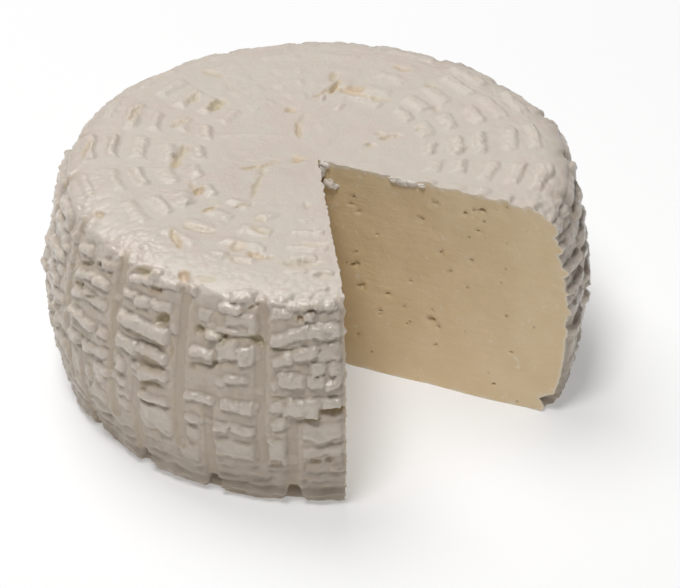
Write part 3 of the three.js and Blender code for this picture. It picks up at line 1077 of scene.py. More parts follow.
    @staticmethod
    def _oval(grid: Grid, mark: Mark) -> tuple[tuple[slice, slice], Array]:
        """Measure the places round a mark.

        Args:
            grid: The plain wheel's grid.
            mark: The mark.

        Returns:
            The window round it, and how far out each place in it lies: 0 in the mark's
            middle and 1 on its outline.
        """
        rows, azimuth, turn = grid.rows, math.radians(mark.azimuth), math.radians(mark.turn)
        around = np.array([-math.sin(azimuth), math.cos(azimuth), 0.0])
        outwards = np.array([math.cos(azimuth), math.sin(azimuth), 0.0])
        radius, height, out_share, up_share = (
            float(np.interp(mark.up, rows.up, column)) for column in (rows.radius, rows.height, *rows.out.T))
        upwards = np.cross(out_share * outwards + up_share * UPWARDS, around)
        part = grid.window(mark.azimuth, mark.up, mark.length, mark.length)
        away = grid.plain[part] - (radius * outwards + height * UPWARDS)
        along = away @ (math.cos(turn) * around + math.sin(turn) * upwards)
        across = away @ (math.cos(turn) * upwards - math.sin(turn) * around)
        bend = grid.bend[part]
        sway = 0.15 if mark.kind is Kind.LUMP else 0.55
        along = along + 0.6 * bend[..., 0]
        across = across + min(0.9, sway * mark.width) * bend[..., 1] + 0.1 * mark.width * bend[..., 0]
        return part, (2.0 * along / mark.length) ** 2 + (2.0 * across / mark.width) ** 2

    @staticmethod
    def _swells(azimuths: Array, height: Array) -> Array:
        """Sum the broad swells: each is a bell in azimuth times a bell in height."""
        return sum(swell.rise * bell(turn_from(azimuths, swell.azimuth), swell.half_angle)
                   * bell(height - swell.height, swell.half_height) for swell in SWELLS)


# ---------------------------------------------------------------------------- meshes

def grid_faces(ids: Array) -> tuple[Array, Array]:
    """Join a grid of vertex numbers into faces.

    Formula: each cell is the quad of its four corners, in the order that makes a face turn
    from the column direction towards the row direction; a cell whose side has shrunk to a
    point is a triangle.

    Args:
        ids: Vertex numbers by row and column.

    Returns:
        The quads and the triangles.
    """
    cells = np.stack([ids[:-1, :-1], ids[:-1, 1:], ids[1:, 1:], ids[1:, :-1]], axis=-1).reshape(-1, 4)
    folded = cells == np.roll(cells, -1, axis=-1)
    quads = cells[~folded.any(axis=-1)]
    once = folded.sum(axis=-1) == 1
    kept = cells[once][~folded[once]].reshape(-1, 3)
    return quads, kept


def halving_faces(fine: Array, coarse: Array) -> tuple[Array, Array]:
    """Join a row to one with half as many columns above it.

    Args:
        fine: Vertex numbers of the lower row, two cells for each of the other's.
        coarse: Vertex numbers of the upper row.

    Returns:
        No quads, and three triangles for each cell of the coarse row.
    """
    left, middle, right = fine[:-2:2], fine[1:-1:2], fine[2::2]
    triangles = np.concatenate([
        np.stack([left, middle, coarse[:-1]], axis=-1),
        np.stack([middle, coarse[1:], coarse[:-1]], axis=-1),
        np.stack([middle, right, coarse[1:]], axis=-1),
    ])
    return np.empty((0, 4), int), triangles


def new_piece(name: str, points: Array, quads: Array, triangles: Array) -> Piece:
    """Make a smooth-shaded mesh object from arrays.

    Args:
        name: Name of the piece.
        points: Vertices, in millimetres.
        quads: Faces of four corners.
        triangles: Faces of three corners.

    Returns:
        The object, linked to the scene, at the origin.
    """
    mesh = bpy.data.meshes.new(name)
    mesh.from_pydata((points * MM).tolist(), [], quads.tolist() + triangles.tolist())
    mesh.polygons.foreach_set("use_smooth", np.ones(len(mesh.polygons), bool))
    mesh.update()
    piece = bpy.data.objects.new(name, mesh)
    bpy.context.scene.collection.objects.link(piece)
    return piece


def write_mask(piece: Piece, name: str, values: Array) -> None:
    """Store one number for each vertex, for the finish to read."""
    layer = piece.data.attributes.new(name, "FLOAT", "POINT")
    layer.data.foreach_set("value", np.ascontiguousarray(values, np.float32))


# ---------------------------------------------------------------------------- finishes

class Value:
    """A number socket, with arithmetic that adds Math nodes to its tree."""

    def __init__(self, tree: "Tree", socket: Socket) -> None:
        """Wrap a socket of a tree."""
        self.tree = tree
        self.socket = socket

    def _math(self, operation: str, *others: "Value | float") -> "Value":
        """Add a Math node that works on this socket and others."""
        node = self.tree.node("ShaderNodeMath", {"operation": operation}, dict(enumerate((self, *others))))
        return Value(self.tree, node.outputs[0])

    def __add__(self, other: "Value | float") -> "Value":
        """Add a number or a socket."""
        return self._math("ADD", other)

    def __sub__(self, other: "Value | float") -> "Value":
        """Take away a number or a socket."""
        return self._math("SUBTRACT", other)

    def __rsub__(self, other: float) -> "Value":
        """Take this socket away from a number."""
        return (self * -1.0) + other

    def __mul__(self, other: "Value | float") -> "Value":
        """Multiply by a number or a socket."""
        return self._math("MULTIPLY", other)

    def at_most(self, other: "Value | float") -> "Value":
        """Take the smaller of the two."""
        return self._math("MINIMUM", other)

    def above(self, low: float, high: float) -> "Value":
        """Rise gently from 0 to 1 between two values, the first of which may be the higher."""
        settings = {"interpolation_type": "SMOOTHSTEP", "clamp": True}
        node = self.tree.node("ShaderNodeMapRange", settings, {0: self, 1: low, 2: high})
        return Value(self.tree, node.outputs[0])

    __radd__ = __add__
    __rmul__ = __mul__


class Tree:
    """A material's node tree, built by short calls."""

    def __init__(self, name: str) -> None:
        """Start a material with only its output and its shader.

        Args:
            name: Name of the material.
        """
        self.material = bpy.data.materials.new(name)
        self.material.use_nodes = True
        self.nodes = self.material.node_tree.nodes
        self.links = self.material.node_tree.links
        self.nodes.clear()
        self.shader = self.node("ShaderNodeBsdfPrincipled")
        self.node("ShaderNodeOutputMaterial", {}, {"Surface": self.shader.outputs[0]})

    def feed(self, socket: Socket, value: "Value | Socket | float") -> None:
        """Link a socket, or set it.

        Args:
            socket: The socket to feed.
            value: A Value, a link or a plain value.
        """
        if isinstance(value, Value):
            self.links.new(value.socket, socket)
        elif isinstance(value, Socket):
            self.links.new(value, socket)
        else:
            socket.default_value = value

    def node(self, kind: str, settings: dict | None = None, inputs: dict | None = None) -> bpy.types.Node:
        """Add a node.

        Args:
            kind: The node's type.
            settings: Its own settings, set before its sockets.
            inputs: A value, a link or a Value for each socket, by name or number.

        Returns:
            The node.
        """
        node = self.nodes.new(kind)
        for key, value in (settings or {}).items():
            setattr(node, key, value)
        for key, value in (inputs or {}).items():
            self.feed(node.inputs[key], value)
        return node

    def mask(self, name: str) -> Value:
        """Read a mask that the mesh carries."""
        return Value(self, self.node("ShaderNodeAttribute", {"attribute_name": name}).outputs["Fac"])

    def place(self) -> Socket:
        """Give the place on the object, in metres."""
        return self.node("ShaderNodeTexCoord").outputs["Object"]

    def noise(self, width: float, detail: float = 2.0, roughness: float = 0.5, *, place: Socket) -> Value:
        """Give noise from 0 to 1 at a place, with bumps about as wide as width, in mm."""
        inputs = {"Vector": place, "Scale": 1.0 / (width * MM), "Detail": detail, "Roughness": roughness}
        return Value(self, self.node("ShaderNodeTexNoise", {}, inputs).outputs["Fac"])

    def cells(self, width: float, feature: str, place: Socket) -> Value:
        """Give the distance to the middle of the nearest of many cells as wide as width, in mm."""
        inputs = {"Vector": place, "Scale": 1.0 / (width * MM)}
        node = self.node("ShaderNodeTexVoronoi", {"feature": feature}, inputs)
        return Value(self, node.outputs["Distance"])

    def mix(self, share: Value, first: "Colour | Socket",
            second: "Colour | Socket") -> Socket:
        """Blend two colours.

        Args:
            share: How much of the second.
            first: A colour or a link.
            second: A colour or a link.

        Returns:
            The blended colour.
        """
        colours = [c if isinstance(c, Socket) else (*c, 1.0) for c in (first, second)]
        settings = {"data_type": "RGBA", "clamp_factor": True}
        node = self.node("ShaderNodeMix", settings, {0: share, 6: colours[0], 7: colours[1]})
        return node.outputs[2]

    def bumped(self, height: Value, distance: float, strength: float, under: Socket | None = None) -> Socket:
        """Give a normal, bumped by a height of up to a distance in millimetres."""
        inputs = {"Height": height, "Distance": distance * MM, "Strength": strength}
        return self.node("ShaderNodeBump", {}, inputs | ({"Normal": under} if under else {})).outputs[0]

    def finish(self, **inputs: "Value | Socket | float") -> Material:
        """Set the shader's sockets.

        Args:
            inputs: A value, a link or a Value for each, with underscores for spaces.

        Returns:
            The material.
        """
        for key, value in inputs.items():
            self.feed(self.shader.inputs[key.replace("_", " ")], value)
        return self.material


@dataclass(frozen=True)
class RindFinish:
    """Moist ivory rind: beige grooves, olive hollows and yellow whey stains; painted highlight on the crests,
    painted shade between the bars, in the hollows and towards the base.

    Attributes:
        low_shade_top: Height up to which the rind is painted darker and warmer, as painted shade towards the
            base, mm.
        glow: Share of the light that comes from inside the curd.
        glow_depth: How far light travels inside it, mm.
    """

    name: str = "cheese_rind"
    ivory: Colour = (0.607, 0.540, 0.468)
    rosy: Colour = (0.607, 0.528, 0.462)
    cool: Colour = (0.587, 0.540, 0.466)
    # Crest colour: a little of the bars' own paler tone, the rest painted highlight.
    crest: Colour = (0.680, 0.602, 0.518)
    groove: Colour = (0.458, 0.370, 0.276)
    # Between the bars: a warmer tone, made darker as painted shade.
    gap: Colour = (0.504, 0.408, 0.298)
    # Towards the base: painted shade, darker and warmer.
    low_shade: Colour = (0.352, 0.278, 0.200)
    # Holes and cracks: olive, darker with depth as painted shade.
    olive_and_shade: Colour = (0.455, 0.365, 0.180)
    stain: Colour = (0.550, 0.468, 0.325)
    rust: Colour = (0.590, 0.430, 0.290)
    low_shade_top: float = 37.0
    bead_width: float = 1.7
    grain_width: float = 0.7
    glow: float = 0.5
    glow_depth: float = 2.4

    def material(self) -> Material:
        """Build the material.

        Returns:
            The material, which reads the masks post, gap, crest, hollow, stain, rust and wet.
        """
        tree = Tree(self.name)
        place = tree.place()
        broad, patches = tree.noise(26.0, place=place), tree.noise(7.0, 3.0, place=place)
        crest, wet = tree.mask("crest"), tree.mask("wet")
        height = Value(tree, tree.node("ShaderNodeSeparateXYZ", {}, {0: place}).outputs["Z"])
        # Painted shade: the rind is painted darker and warmer towards the base.
        low_shade = (height + patches * 0.012).above((self.low_shade_top + 6.0) * MM, 6.0 * MM)
        colour = tree.mix(broad.above(0.42, 0.62), self.ivory, self.rosy)
        for share, over in (
            (patches.above(0.5, 0.72) * 0.8, self.cool),
            (low_shade * 0.85, self.low_shade),
            (tree.mask("post") * 0.7, self.groove),
            # Painted shade between the bars on a warmer tone, and painted highlight on the bars' paler
            # crests.
            (tree.mask("gap") * (patches * 0.8 + 0.1), self.gap),
            (crest * 0.4, self.crest),
            (tree.mask("stain") * (patches * 0.8 + 0.35), self.stain),
            (tree.mask("rust") * 0.8, self.rust),
            # Olive holes and cracks, darker with depth: partly the curd's own tint, partly painted shade.
            (tree.mask("olive_and_shade") * 0.8, self.olive_and_shade),
        ):
            colour = tree.mix(share, colour, over)
        rough, beads = 0.16 + crest * 0.84, tree.cells(self.bead_width, "SMOOTH_F1", place)
        normal = tree.bumped(tree.noise(3.4, 3.0, 0.6, place=place) * rough, 0.9, 0.6)
        normal = tree.bumped(beads * -1.0 * rough, 0.5, 0.7, normal)
        normal = tree.bumped(tree.noise(self.grain_width, 2.0, 0.6, place=place), 0.24, 0.6, normal)
        return tree.finish(
            Base_Color=colour, Roughness=patches * 0.3 + 0.4 - wet * 0.22, Normal=normal, IOR=1.4,
            Coat_Weight=(broad.above(0.38, 0.6) * 0.25 + crest * 0.18 + 0.03) * wet, Coat_Roughness=0.15,
            Subsurface_Weight=self.glow, Subsurface_Radius=(1.0, 0.88, 0.72),
            Subsurface_Scale=self.glow_depth * MM, Specular_IOR_Level=0.75,
        )


@dataclass(frozen=True)
class PasteFinish:
    """Moist cut paste: cream, darker and yellower towards the axis, with faint knife marks, fine grain, pores
    dark with painted shade and white flecks.
    """

    cream: Colour = (0.750, 0.600, 0.395)
    deep: Colour = (0.715, 0.562, 0.352)
    # Towards the axis: darker and yellower.
    core: Colour = (0.700, 0.560, 0.350)
    fleck: Colour = (0.800, 0.720, 0.590)
    # Pores and tears: dark brown, painted shade.
    pore: Colour = (0.380, 0.290, 0.160)
    rim: Colour = (0.740, 0.670, 0.570)

    def material(self) -> Material:
        """Build the material.

        Returns:
            The material, which reads the masks rim, core and pore.
        """
        tree = Tree("cheese_paste")
        place = tree.place()
        clouds = tree.noise(17.0, 3.0, place=place)
        knife = {"Vector": place, "Rotation": (0.5, 0.3, 0.0), "Scale": (1.0, 1.0, 5.0)}
        drag = tree.noise(9.0, 3.0, 0.6, place=tree.node("ShaderNodeMapping", {}, knife).outputs[0])
        grain = tree.noise(1.6, 2.0, 0.6, place=place)
        flecks = tree.noise(3.2, 1.0, place=place).above(0.68, 0.76)
        # The pores darken the colour as painted shade, and sink the bump.
        pores = tree.cells(6.0, "F1", place).above(0.13, 0.07)
        pores = pores * tree.noise(20.0, place=place).above(0.50, 0.60)
        pores = (pores * 0.7 + tree.mask("pore") * 0.35).at_most(1.0)
        colour = tree.mix((clouds * 0.7 + drag * 0.3).above(0.38, 0.62), self.cream, self.deep)
        for share, over in (
            (tree.mask("core"), self.core),
            (flecks * 0.5, self.fleck),
            (pores * 0.8, self.pore),
            (tree.mask("rim"), self.rim),
        ):
            colour = tree.mix(share, colour, over)
        normal = tree.bumped(drag, 0.5, 0.5)
        normal = tree.bumped(grain, 0.35, 0.5, normal)
        normal = tree.bumped(pores * -1.0, 0.8, 0.7, normal)
        return tree.finish(
            Base_Color=colour, Roughness=clouds * 0.2 + 0.34, Normal=normal, IOR=1.4,
            Subsurface_Weight=0.25, Subsurface_Radius=(1.0, 0.8, 0.5), Subsurface_Scale=2.0 * MM,
        )


# ---------------------------------------------------------------------------- sub-assemblies

@dataclass(frozen=True)
class Tear:
    """A small hole or tear in a cut face.

    Attributes:
        away: Distance of its middle from the axis, mm.
        height: Height of its middle, mm.
        length: Its long way, mm.
        width: Its short way, mm.
        depth: How deep it is, mm.
        turn: Degrees that the long way is turned up from level.
    """

    away: float
    height: float
    length: float
    width: float
    depth: float
    turn: float = 0.0


@dataclass(frozen=True)
class CutSurface:
    """A cut face between the rind's edge and the axis.

    Attributes:
        points: Its own points, mm.
        triangles: Vertex numbers in the whole wheel.
        rim: Mask of the pale curd along the edge, for its own points.
        pore: Mask of the tears, for its own points; the paste paints it dark as painted shade.
        edge_rim: The first mask for the rind's points along the cut.
    """

    points: Array
    triangles: Array
    rim: Array
    pore: Array
    edge_rim: Array


@dataclass(frozen=True)
class Cut:
    """How the knife left a face: nearly flat, a little wavy and grainy, with small tears.

    Attributes:
        spacing: Distance between its points, mm.
        margin: How far the even points stay from the edge, mm.
        rings: Distances of the extra lines of points that follow the edge, mm.
        fade: How quickly the edge's raggedness dies away, mm.
        overhang: How far the pale curd hangs over the upper edge, mm.
        drawn: How many tears each face has beside the ones given.
        tears: Tears of the first face.
    """

    WAVES = (Layer(33, 27.0, 0.5), Layer(34, 8.0, 0.2))
    GRAIN = Layer(37, 3.4, 0.14)
    TEAR_BEND = Layer(38, 2.4, 0.25)
    RAG = (Layer(35, 5.0, 1.0, 0.2), Layer(36, 2.1, 0.7))
    AXIS_MARGIN = 0.8
    MERGE_DISTANCE = 1e-5

    spacing: float = 1.65
    margin: float = 1.9
    rings: tuple[float, ...] = (0.55, 1.25)
    fade: float = 1.6
    overhang: float = 1.0
    drawn: int = 26
    tears: tuple[Tear, ...] = (
        Tear(57.6, 78.0, 1.5, 1.3, 1.1), Tear(64.1, 80.6, 2.8, 1.6, 1.3, -12.0),
        Tear(60.9, 79.6, 1.3, 0.9, 0.7), Tear(46.0, 79.2, 4.4, 1.0, 0.5, 10.0),
        Tear(14.2, 44.5, 4.6, 1.4, 1.1, 18.0), Tear(17.0, 36.3, 3.8, 1.3, 1.0, 14.0),
    )

    def fill(self, edge: Array, axis: Array, numbers: Array, azimuth: float, outwards: float,
             first: int) -> CutSurface:
        """Fill the face between the rind's edge and the axis.

        Formula: points inside the outline are joined by Delaunay's rule; across the face
        they are moved by noise, by the tears, and near the edge by the edge's own
        raggedness, which dies away as exp(-distance / fade).

        Args:
            edge: The rind's points along the cut, from the base's middle to the top's.
            axis: The points on the axis, from the top down.
            numbers: Vertex numbers of the edge and then of the axis.
            azimuth: The face's direction.
            outwards: Which way round the face looks: 1 to the left, -1 to the right.
            first: Vertex number of the face's first own point.

        Returns:
            The face's points, triangles and masks.
        """
        angle = math.radians(azimuth)
        away = np.array([math.cos(angle), math.sin(angle), 0.0])
        across = np.array([-math.sin(angle), math.cos(angle), 0.0]) * outwards
        border = np.concatenate([edge, axis])
        loop = np.stack([border @ away, border[:, 2]], axis=-1)
        tears = self._tears(outwards)
        own, triangles = self._join(loop, self._places(loop, len(edge), tears), numbers, outwards, first)
        gap = np.linalg.norm(own[:, None] - loop[None], axis=-1)
        nearest, near = gap.argmin(axis=1), gap.min(axis=1)
        inner = own[:, :1] * away + own[:, 1:] * UPWARDS
        sunk, pore = self._sunk(own, tears, self.TEAR_BEND.over(inner))
        shift = (layered(inner, *self.WAVES) + self.GRAIN.over(inner)) * smooth(0.0, 4.0, near) - sunk
        shift += (border[nearest] @ across) * np.exp(-near / self.fade)
        to_rind = np.concatenate([np.zeros(len(edge)), gap[:, :len(edge)].min(axis=1)])
        rim = self._rim(np.concatenate([loop[:len(edge)], own]), np.concatenate([edge, inner]), to_rind)
        points = inner + shift[:, None] * across
        return CutSurface(points, triangles, rim[len(edge):], pore, rim[:len(edge)])

    def _join(self, loop: Array, flat: Array, numbers: Array, outwards: float,
              first: int) -> tuple[Array, Array]:
        """Join the outline's points and the face's own ones by Delaunay's rule.

        Args:
            loop: The face's outline, as distance from the axis and height, mm.
            flat: The points inside it.
            numbers: Vertex numbers of the outline.
            outwards: Which way round the face looks.
            first: Vertex number of the face's first own point.

        Returns:
            The face's own points and its triangles, which turn towards the side it looks.
        """
        places = [Vector(place) for place in np.concatenate([loop, flat]).tolist()]
        border = [list(range(len(loop)))]
        spots, _, faces, sources, _, _ = delaunay_2d_cdt(places, [], border, 1, self.MERGE_DISTANCE)
        source = np.array([own[0] if own else -1 for own in sources])
        spots, triangles = np.array([tuple(spot) for spot in spots]), np.array(faces)
        on_border = (source >= 0) & (source < len(loop))
        own_number = first + np.cumsum(~on_border) - 1
        number = np.where(on_border, numbers[np.where(on_border, source, 0)], own_number)
        corner = spots[triangles]
        sides = corner[:, 1:] - corner[:, :1]
        turned = (sides[:, 0, 0] * sides[:, 1, 1] - sides[:, 0, 1] * sides[:, 1, 0]) * outwards > 0.0
        return spots[~on_border], number[np.where(turned[:, None], triangles[:, ::-1], triangles)]

    @staticmethod
    def _sunk(own: Array, tears: list[Tear], bend: Array) -> tuple[Array, Array]:
        """Sink the tears.

        Args:
            own: The face's points, as distance from the axis and height, mm.
            tears: The tears.
            bend: How far noise moves each tear's edge, mm.

        Returns:
            How far each point is sunk, mm, and the mask of the tears.
        """
        sunk, pore = np.zeros(len(own)), np.zeros(len(own))
        for tear in tears:
            turn = math.radians(tear.turn)
            gone = own - np.array([tear.away, tear.height])
            along = gone @ np.array([math.cos(turn), math.sin(turn)]) + bend
            up = gone @ np.array([-math.sin(turn), math.cos(turn)]) + bend
            inside = smooth(1.5, 0.4, (2.0 * along / tear.length) ** 2 + (2.0 * up / tear.width) ** 2)
            sunk = np.maximum(sunk, tear.depth * inside)
            pore = np.maximum(pore, inside)
        return sunk, pore

    def _tears(self, outwards: float) -> list[Tear]:
        """List a face's tears: the given ones on the first face, and drawn ones on both.

        Args:
            outwards: Which way round the face looks, -1 for the first face.

        Returns:
            The tears.
        """
        draw = np.random.default_rng(40 if outwards < 0.0 else 41)
        tears = list(self.tears) if outwards < 0.0 else []
        for _ in range(self.drawn):
            length = 1.0 + draw.exponential(0.45)
            tears.append(Tear(draw.uniform(6.0, 88.0), draw.uniform(5.0, 76.0), length,
                              length * draw.uniform(0.4, 0.8), 0.2 + 0.28 * length, draw.normal(12.0, 25.0)))
        return tears

    def _rim(self, flat: Array, places: Array, to_rind: Array) -> Array:
        """Work out how far the pale curd of the rind reaches over the face.

        Formula: the reach is a base width, and near the upper edge noise and two bells
        round the places where the real curd has crumbled over it.

        Args:
            flat: Distance from the axis and height of each place, mm.
            places: The same in space.
            to_rind: Distance from the rind, mm.

        Returns:
            The mask, 1 on the pale curd.
        """
        away, height = flat.T
        top_side = smooth(6.0, 3.0, height.max() - height) * smooth(88.0, 80.0, away)
        crumbled = 2.0 * bell(away - 34.0, 7.0) + 1.5 * bell(away, 6.0)
        ragged = 0.4 + np.maximum(layered(places, *self.RAG), -0.4) + crumbled
        return smooth(0.5, -0.5, to_rind - (0.45 + self.overhang * top_side * ragged))

    def _places(self, loop: Array, edge_count: int, tears: list[Tear]) -> Array:
        """Lay the face's own points: an even honeycomb, lines along the edge, rings round tears.

        Formula: every second row of the honeycomb is half a step along, and each point is
        moved a little at random.

        Args:
            loop: The face's outline, as distance from the axis and height, mm.
            edge_count: How many of its points lie on the rind.
            tears: The tears.

        Returns:
            The points, in the outline's coordinates.
        """
        edge = loop[:edge_count]
        along = np.gradient(edge, axis=0)
        inwards = np.stack([-along[:, 1], along[:, 0]], axis=-1)
        inwards /= np.maximum(np.linalg.norm(inwards, axis=-1, keepdims=True), 1e-6)
        lines = np.concatenate([
            edge[start::2] + ring * inwards[start::2] for start, ring in enumerate(self.rings)])
        turn = np.radians(np.arange(0.0, 360.0, 45.0))
        circle = np.stack([np.cos(turn), np.sin(turn)], axis=-1)
        oval = np.concatenate([np.zeros((1, 2)), 0.3 * circle, 0.6 * circle])
        rings = []
        for tear in tears:
            spin = math.radians(tear.turn)
            axes = np.array([[math.cos(spin), math.sin(spin)], [-math.sin(spin), math.cos(spin)]])
            middle = np.array([tear.away, tear.height])
            rings.append(oval * np.array([tear.length, tear.width]) @ axes + middle)
        rings = np.concatenate(rings)
        even = self._honeycomb(loop.min(axis=0), loop.max(axis=0))
        even = even[self._apart(even, rings) > 0.8]
        even = even[(self._apart(even, edge) > self.margin) & (even[:, 0] > self.AXIS_MARGIN)]
        lines = lines[(self._apart(lines, loop) > 0.4) & (lines[:, 0] > self.AXIS_MARGIN)]
        return np.concatenate([self._inside(part, loop) for part in (even, lines, rings)])

    def _honeycomb(self, low: Array, high: Array) -> Array:
        """Spread points evenly over a rectangle.

        Args:
            low: Its lower left corner, mm.
            high: Its upper right corner, mm.

        Returns:
            The points.
        """
        steps = self.spacing, self.spacing * 0.866
        grid = np.stack(np.meshgrid(*(np.arange(*ends) for ends in zip(low, high, steps))), axis=-1)
        grid[1::2, :, 0] += 0.5 * self.spacing
        even = grid.reshape(-1, 2)
        cells = np.stack([np.arange(len(even)), np.zeros(len(even))], axis=-1)
        moved = np.stack([Noise(39).draw(cells, axis) for axis in range(2)], axis=-1) - 0.5
        return even + moved * 0.35 * self.spacing

    @staticmethod
    def _apart(places: Array, others: Array) -> Array:
        """Give each place's distance to the nearest of some others."""
        return np.linalg.norm(places[:, None] - others[None], axis=-1).min(axis=1)

    @staticmethod
    def _inside(places: Array, loop: Array) -> Array:
        """Keep the places inside a loop.

        Formula: a place is inside where a level ray from it crosses the loop an odd number
        of times.

        Args:
            places: The places.
            loop: The loop's points, in order.

        Returns:
            The places kept.
        """
        end = np.roll(loop, -1, axis=0)
        level = places[:, None, 1]
        crossed = (loop[:, 1] > level) != (end[:, 1] > level)
        climb = np.where(end[:, 1] == loop[:, 1], 1.0, end[:, 1] - loop[:, 1])
        at = loop[:, 0] + (level - loop[:, 1]) * (end[:, 0] - loop[:, 0]) / climb
        return places[(crossed & (places[:, None, 0] < at)).sum(axis=1) % 2 == 1]


@dataclass(frozen=True)
class Wheel:
    """The cheese itself: rind, flat base and the two cut faces, as one closed surface.

    Attributes:
        axis_points: How many points the two cut faces share on the axis.
        back_columns: Columns of the rind from the first cut to the front.
        front_columns: Columns from there to the other cut.
        front: Azimuth where the one spacing goes over into the other.
        ragged: How far the cut edges wander, mm.
        ragged_reach: How quickly that dies away, mm.
        core_reach: Distances from the axis between which the paste turns darker and yellower, mm.
    """

    RAG = (Layer(31, 3.3), Layer(32, 1.6, 0.6))

    outline: Outline = Outline()
    notch: Notch = Notch()
    relief: Relief = Relief()
    cut: Cut = Cut()
    axis_points: int = 40
    back_columns: int = 280
    front_columns: int = 216
    front: float = 172.0
    ragged: float = 0.8
    ragged_reach: float = 1.5
    core_reach: Range = (34.0, 4.0)

    @property
    def columns(self) -> int:
        """Number of columns all round."""
        return self.back_columns + self.front_columns

    def build(self) -> Piece:
        """Make the wheel and dress it.

        Returns:
            The piece, which replaces the plain solid.
        """
        rows = self.outline.rows()
        azimuths = np.concatenate([
            np.linspace(self.notch.first, self.front, self.back_columns + 1),
            np.linspace(self.front, self.notch.last, self.front_columns + 1)[1:],
        ])
        surface = self.relief.surface(rows, azimuths)
        points = self._fray(surface.points, rows, azimuths)
        ids, kept = self._number(rows)
        parts = [(*self._rind_faces(ids, rows), RIND)]
        vertices = [points.reshape(-1, 3)[kept], self._axis(points[[0, -1], 0])]
        count = len(kept) + self.axis_points
        axis_ids = np.arange(len(kept), count)
        edge_rim, rims, pores = np.zeros(count), [], []
        for column, outwards in ((0, -1.0), (self.columns, 1.0)):
            numbers = np.concatenate([ids[:, column], axis_ids])
            face = self.cut.fill(points[:, column], vertices[1], numbers, azimuths[column], outwards, count)
            parts.append((np.empty((0, 4), int), face.triangles, PASTE))
            vertices.append(face.points)
            edge_rim[ids[:, column]] = face.edge_rim
            rims.append(face.rim)
            pores.append(face.pore)
            count += len(face.points)
        on_rind = {name: mask.reshape(-1)[kept] for name, mask in surface.masks.items()}
        masks = {name: np.concatenate([mask, np.zeros(count - len(kept))]) for name, mask in on_rind.items()}
        masks["rim"] = np.concatenate([edge_rim, *rims])
        masks["pore"] = np.concatenate([np.zeros(len(edge_rim)), *pores])
        vertices = np.concatenate(vertices)
        masks["core"] = smooth(*self.core_reach, np.hypot(vertices[:, 0], vertices[:, 1]))
        sharp = np.concatenate([ids[:, 0], ids[:, -1], axis_ids])
        return self._assemble(vertices, parts, masks, sharp)

    def _number(self, rows: Rows) -> tuple[Array, Array]:
        """Number the vertices that the rows keep.

        Args:
            rows: The outline's rows.

        Returns:
            The vertex number of every place of the full grid, -1 where a coarse row has
            none, and the places kept, in order.
        """
        width = self.columns + 1
        ids = np.full((len(rows.radius), width), -1)
        wanted = np.arange(width)[None, :] % rows.step[:, None] == 0
        wanted[[0, -1], 1:] = False
        kept = np.flatnonzero(wanted)
        ids[wanted] = np.arange(len(kept))
        ids[[0, -1]] = ids[[0, -1], :1]
        return ids, kept

    @staticmethod
    def _rind_faces(ids: Array, rows: Rows) -> tuple[Array, Array]:
        """Join the rows of the rind, halving the columns where a row's step doubles.

        Args:
            ids: Vertex numbers by row and column.
            rows: The outline's rows.

        Returns:
            The quads and the triangles.
        """
        quads, triangles = [], []
        for low in range(len(rows.radius) - 1):
            steps = rows.step[low], rows.step[low + 1]
            if steps[0] == steps[1]:
                four, three = grid_faces(ids[low:low + 2, ::steps[0]])
            elif steps[1] > steps[0]:
                four, three = halving_faces(ids[low, ::steps[0]], ids[low + 1, ::steps[1]])
            else:
                four, three = halving_faces(ids[low + 1, ::steps[1]], ids[low, ::steps[0]])
                three = three[:, ::-1]
            quads.append(four)
            triangles.append(three)
        return np.concatenate(quads), np.concatenate(triangles)

    def _axis(self, poles: Array) -> Array:
        """Spread points down the axis, between the middles of the top and of the base."""
        share = np.linspace(0.0, 1.0, self.axis_points + 2)[1:-1, None]
        return poles[1] * (1.0 - share) + poles[0] * share

    def _fray(self, points: Array, rows: Rows, azimuths: Array) -> Array:
        """Make the cut edges a little ragged.

        Formula: near a cut the rind is moved along its ring by noise that depends on the
        row alone, and that dies away as exp(-distance / reach).

        Args:
            points: The rind's grid.
            rows: The outline's rows.
            azimuths: Azimuths of the columns.

        Returns:
            The moved grid.
        """
        moved = points.copy()
        radius = np.hypot(points[..., 0], points[..., 1])
        angle = np.radians(azimuths)[None, :]
        for number, edge in enumerate((azimuths[0], azimuths[-1])):
            along = np.stack([rows.up, 0.0 * rows.up, 0.0 * rows.up + 50.0 * number], axis=-1)
            distance = np.radians(np.abs(azimuths - edge))[None, :] * radius
            amount = self.ragged * layered(along, *self.RAG)[:, None] * np.exp(-distance / self.ragged_reach)
            amount *= smooth(1.0, 6.0, radius)
            moved[..., 0] -= amount * np.sin(angle)
            moved[..., 1] += amount * np.cos(angle)
        return moved

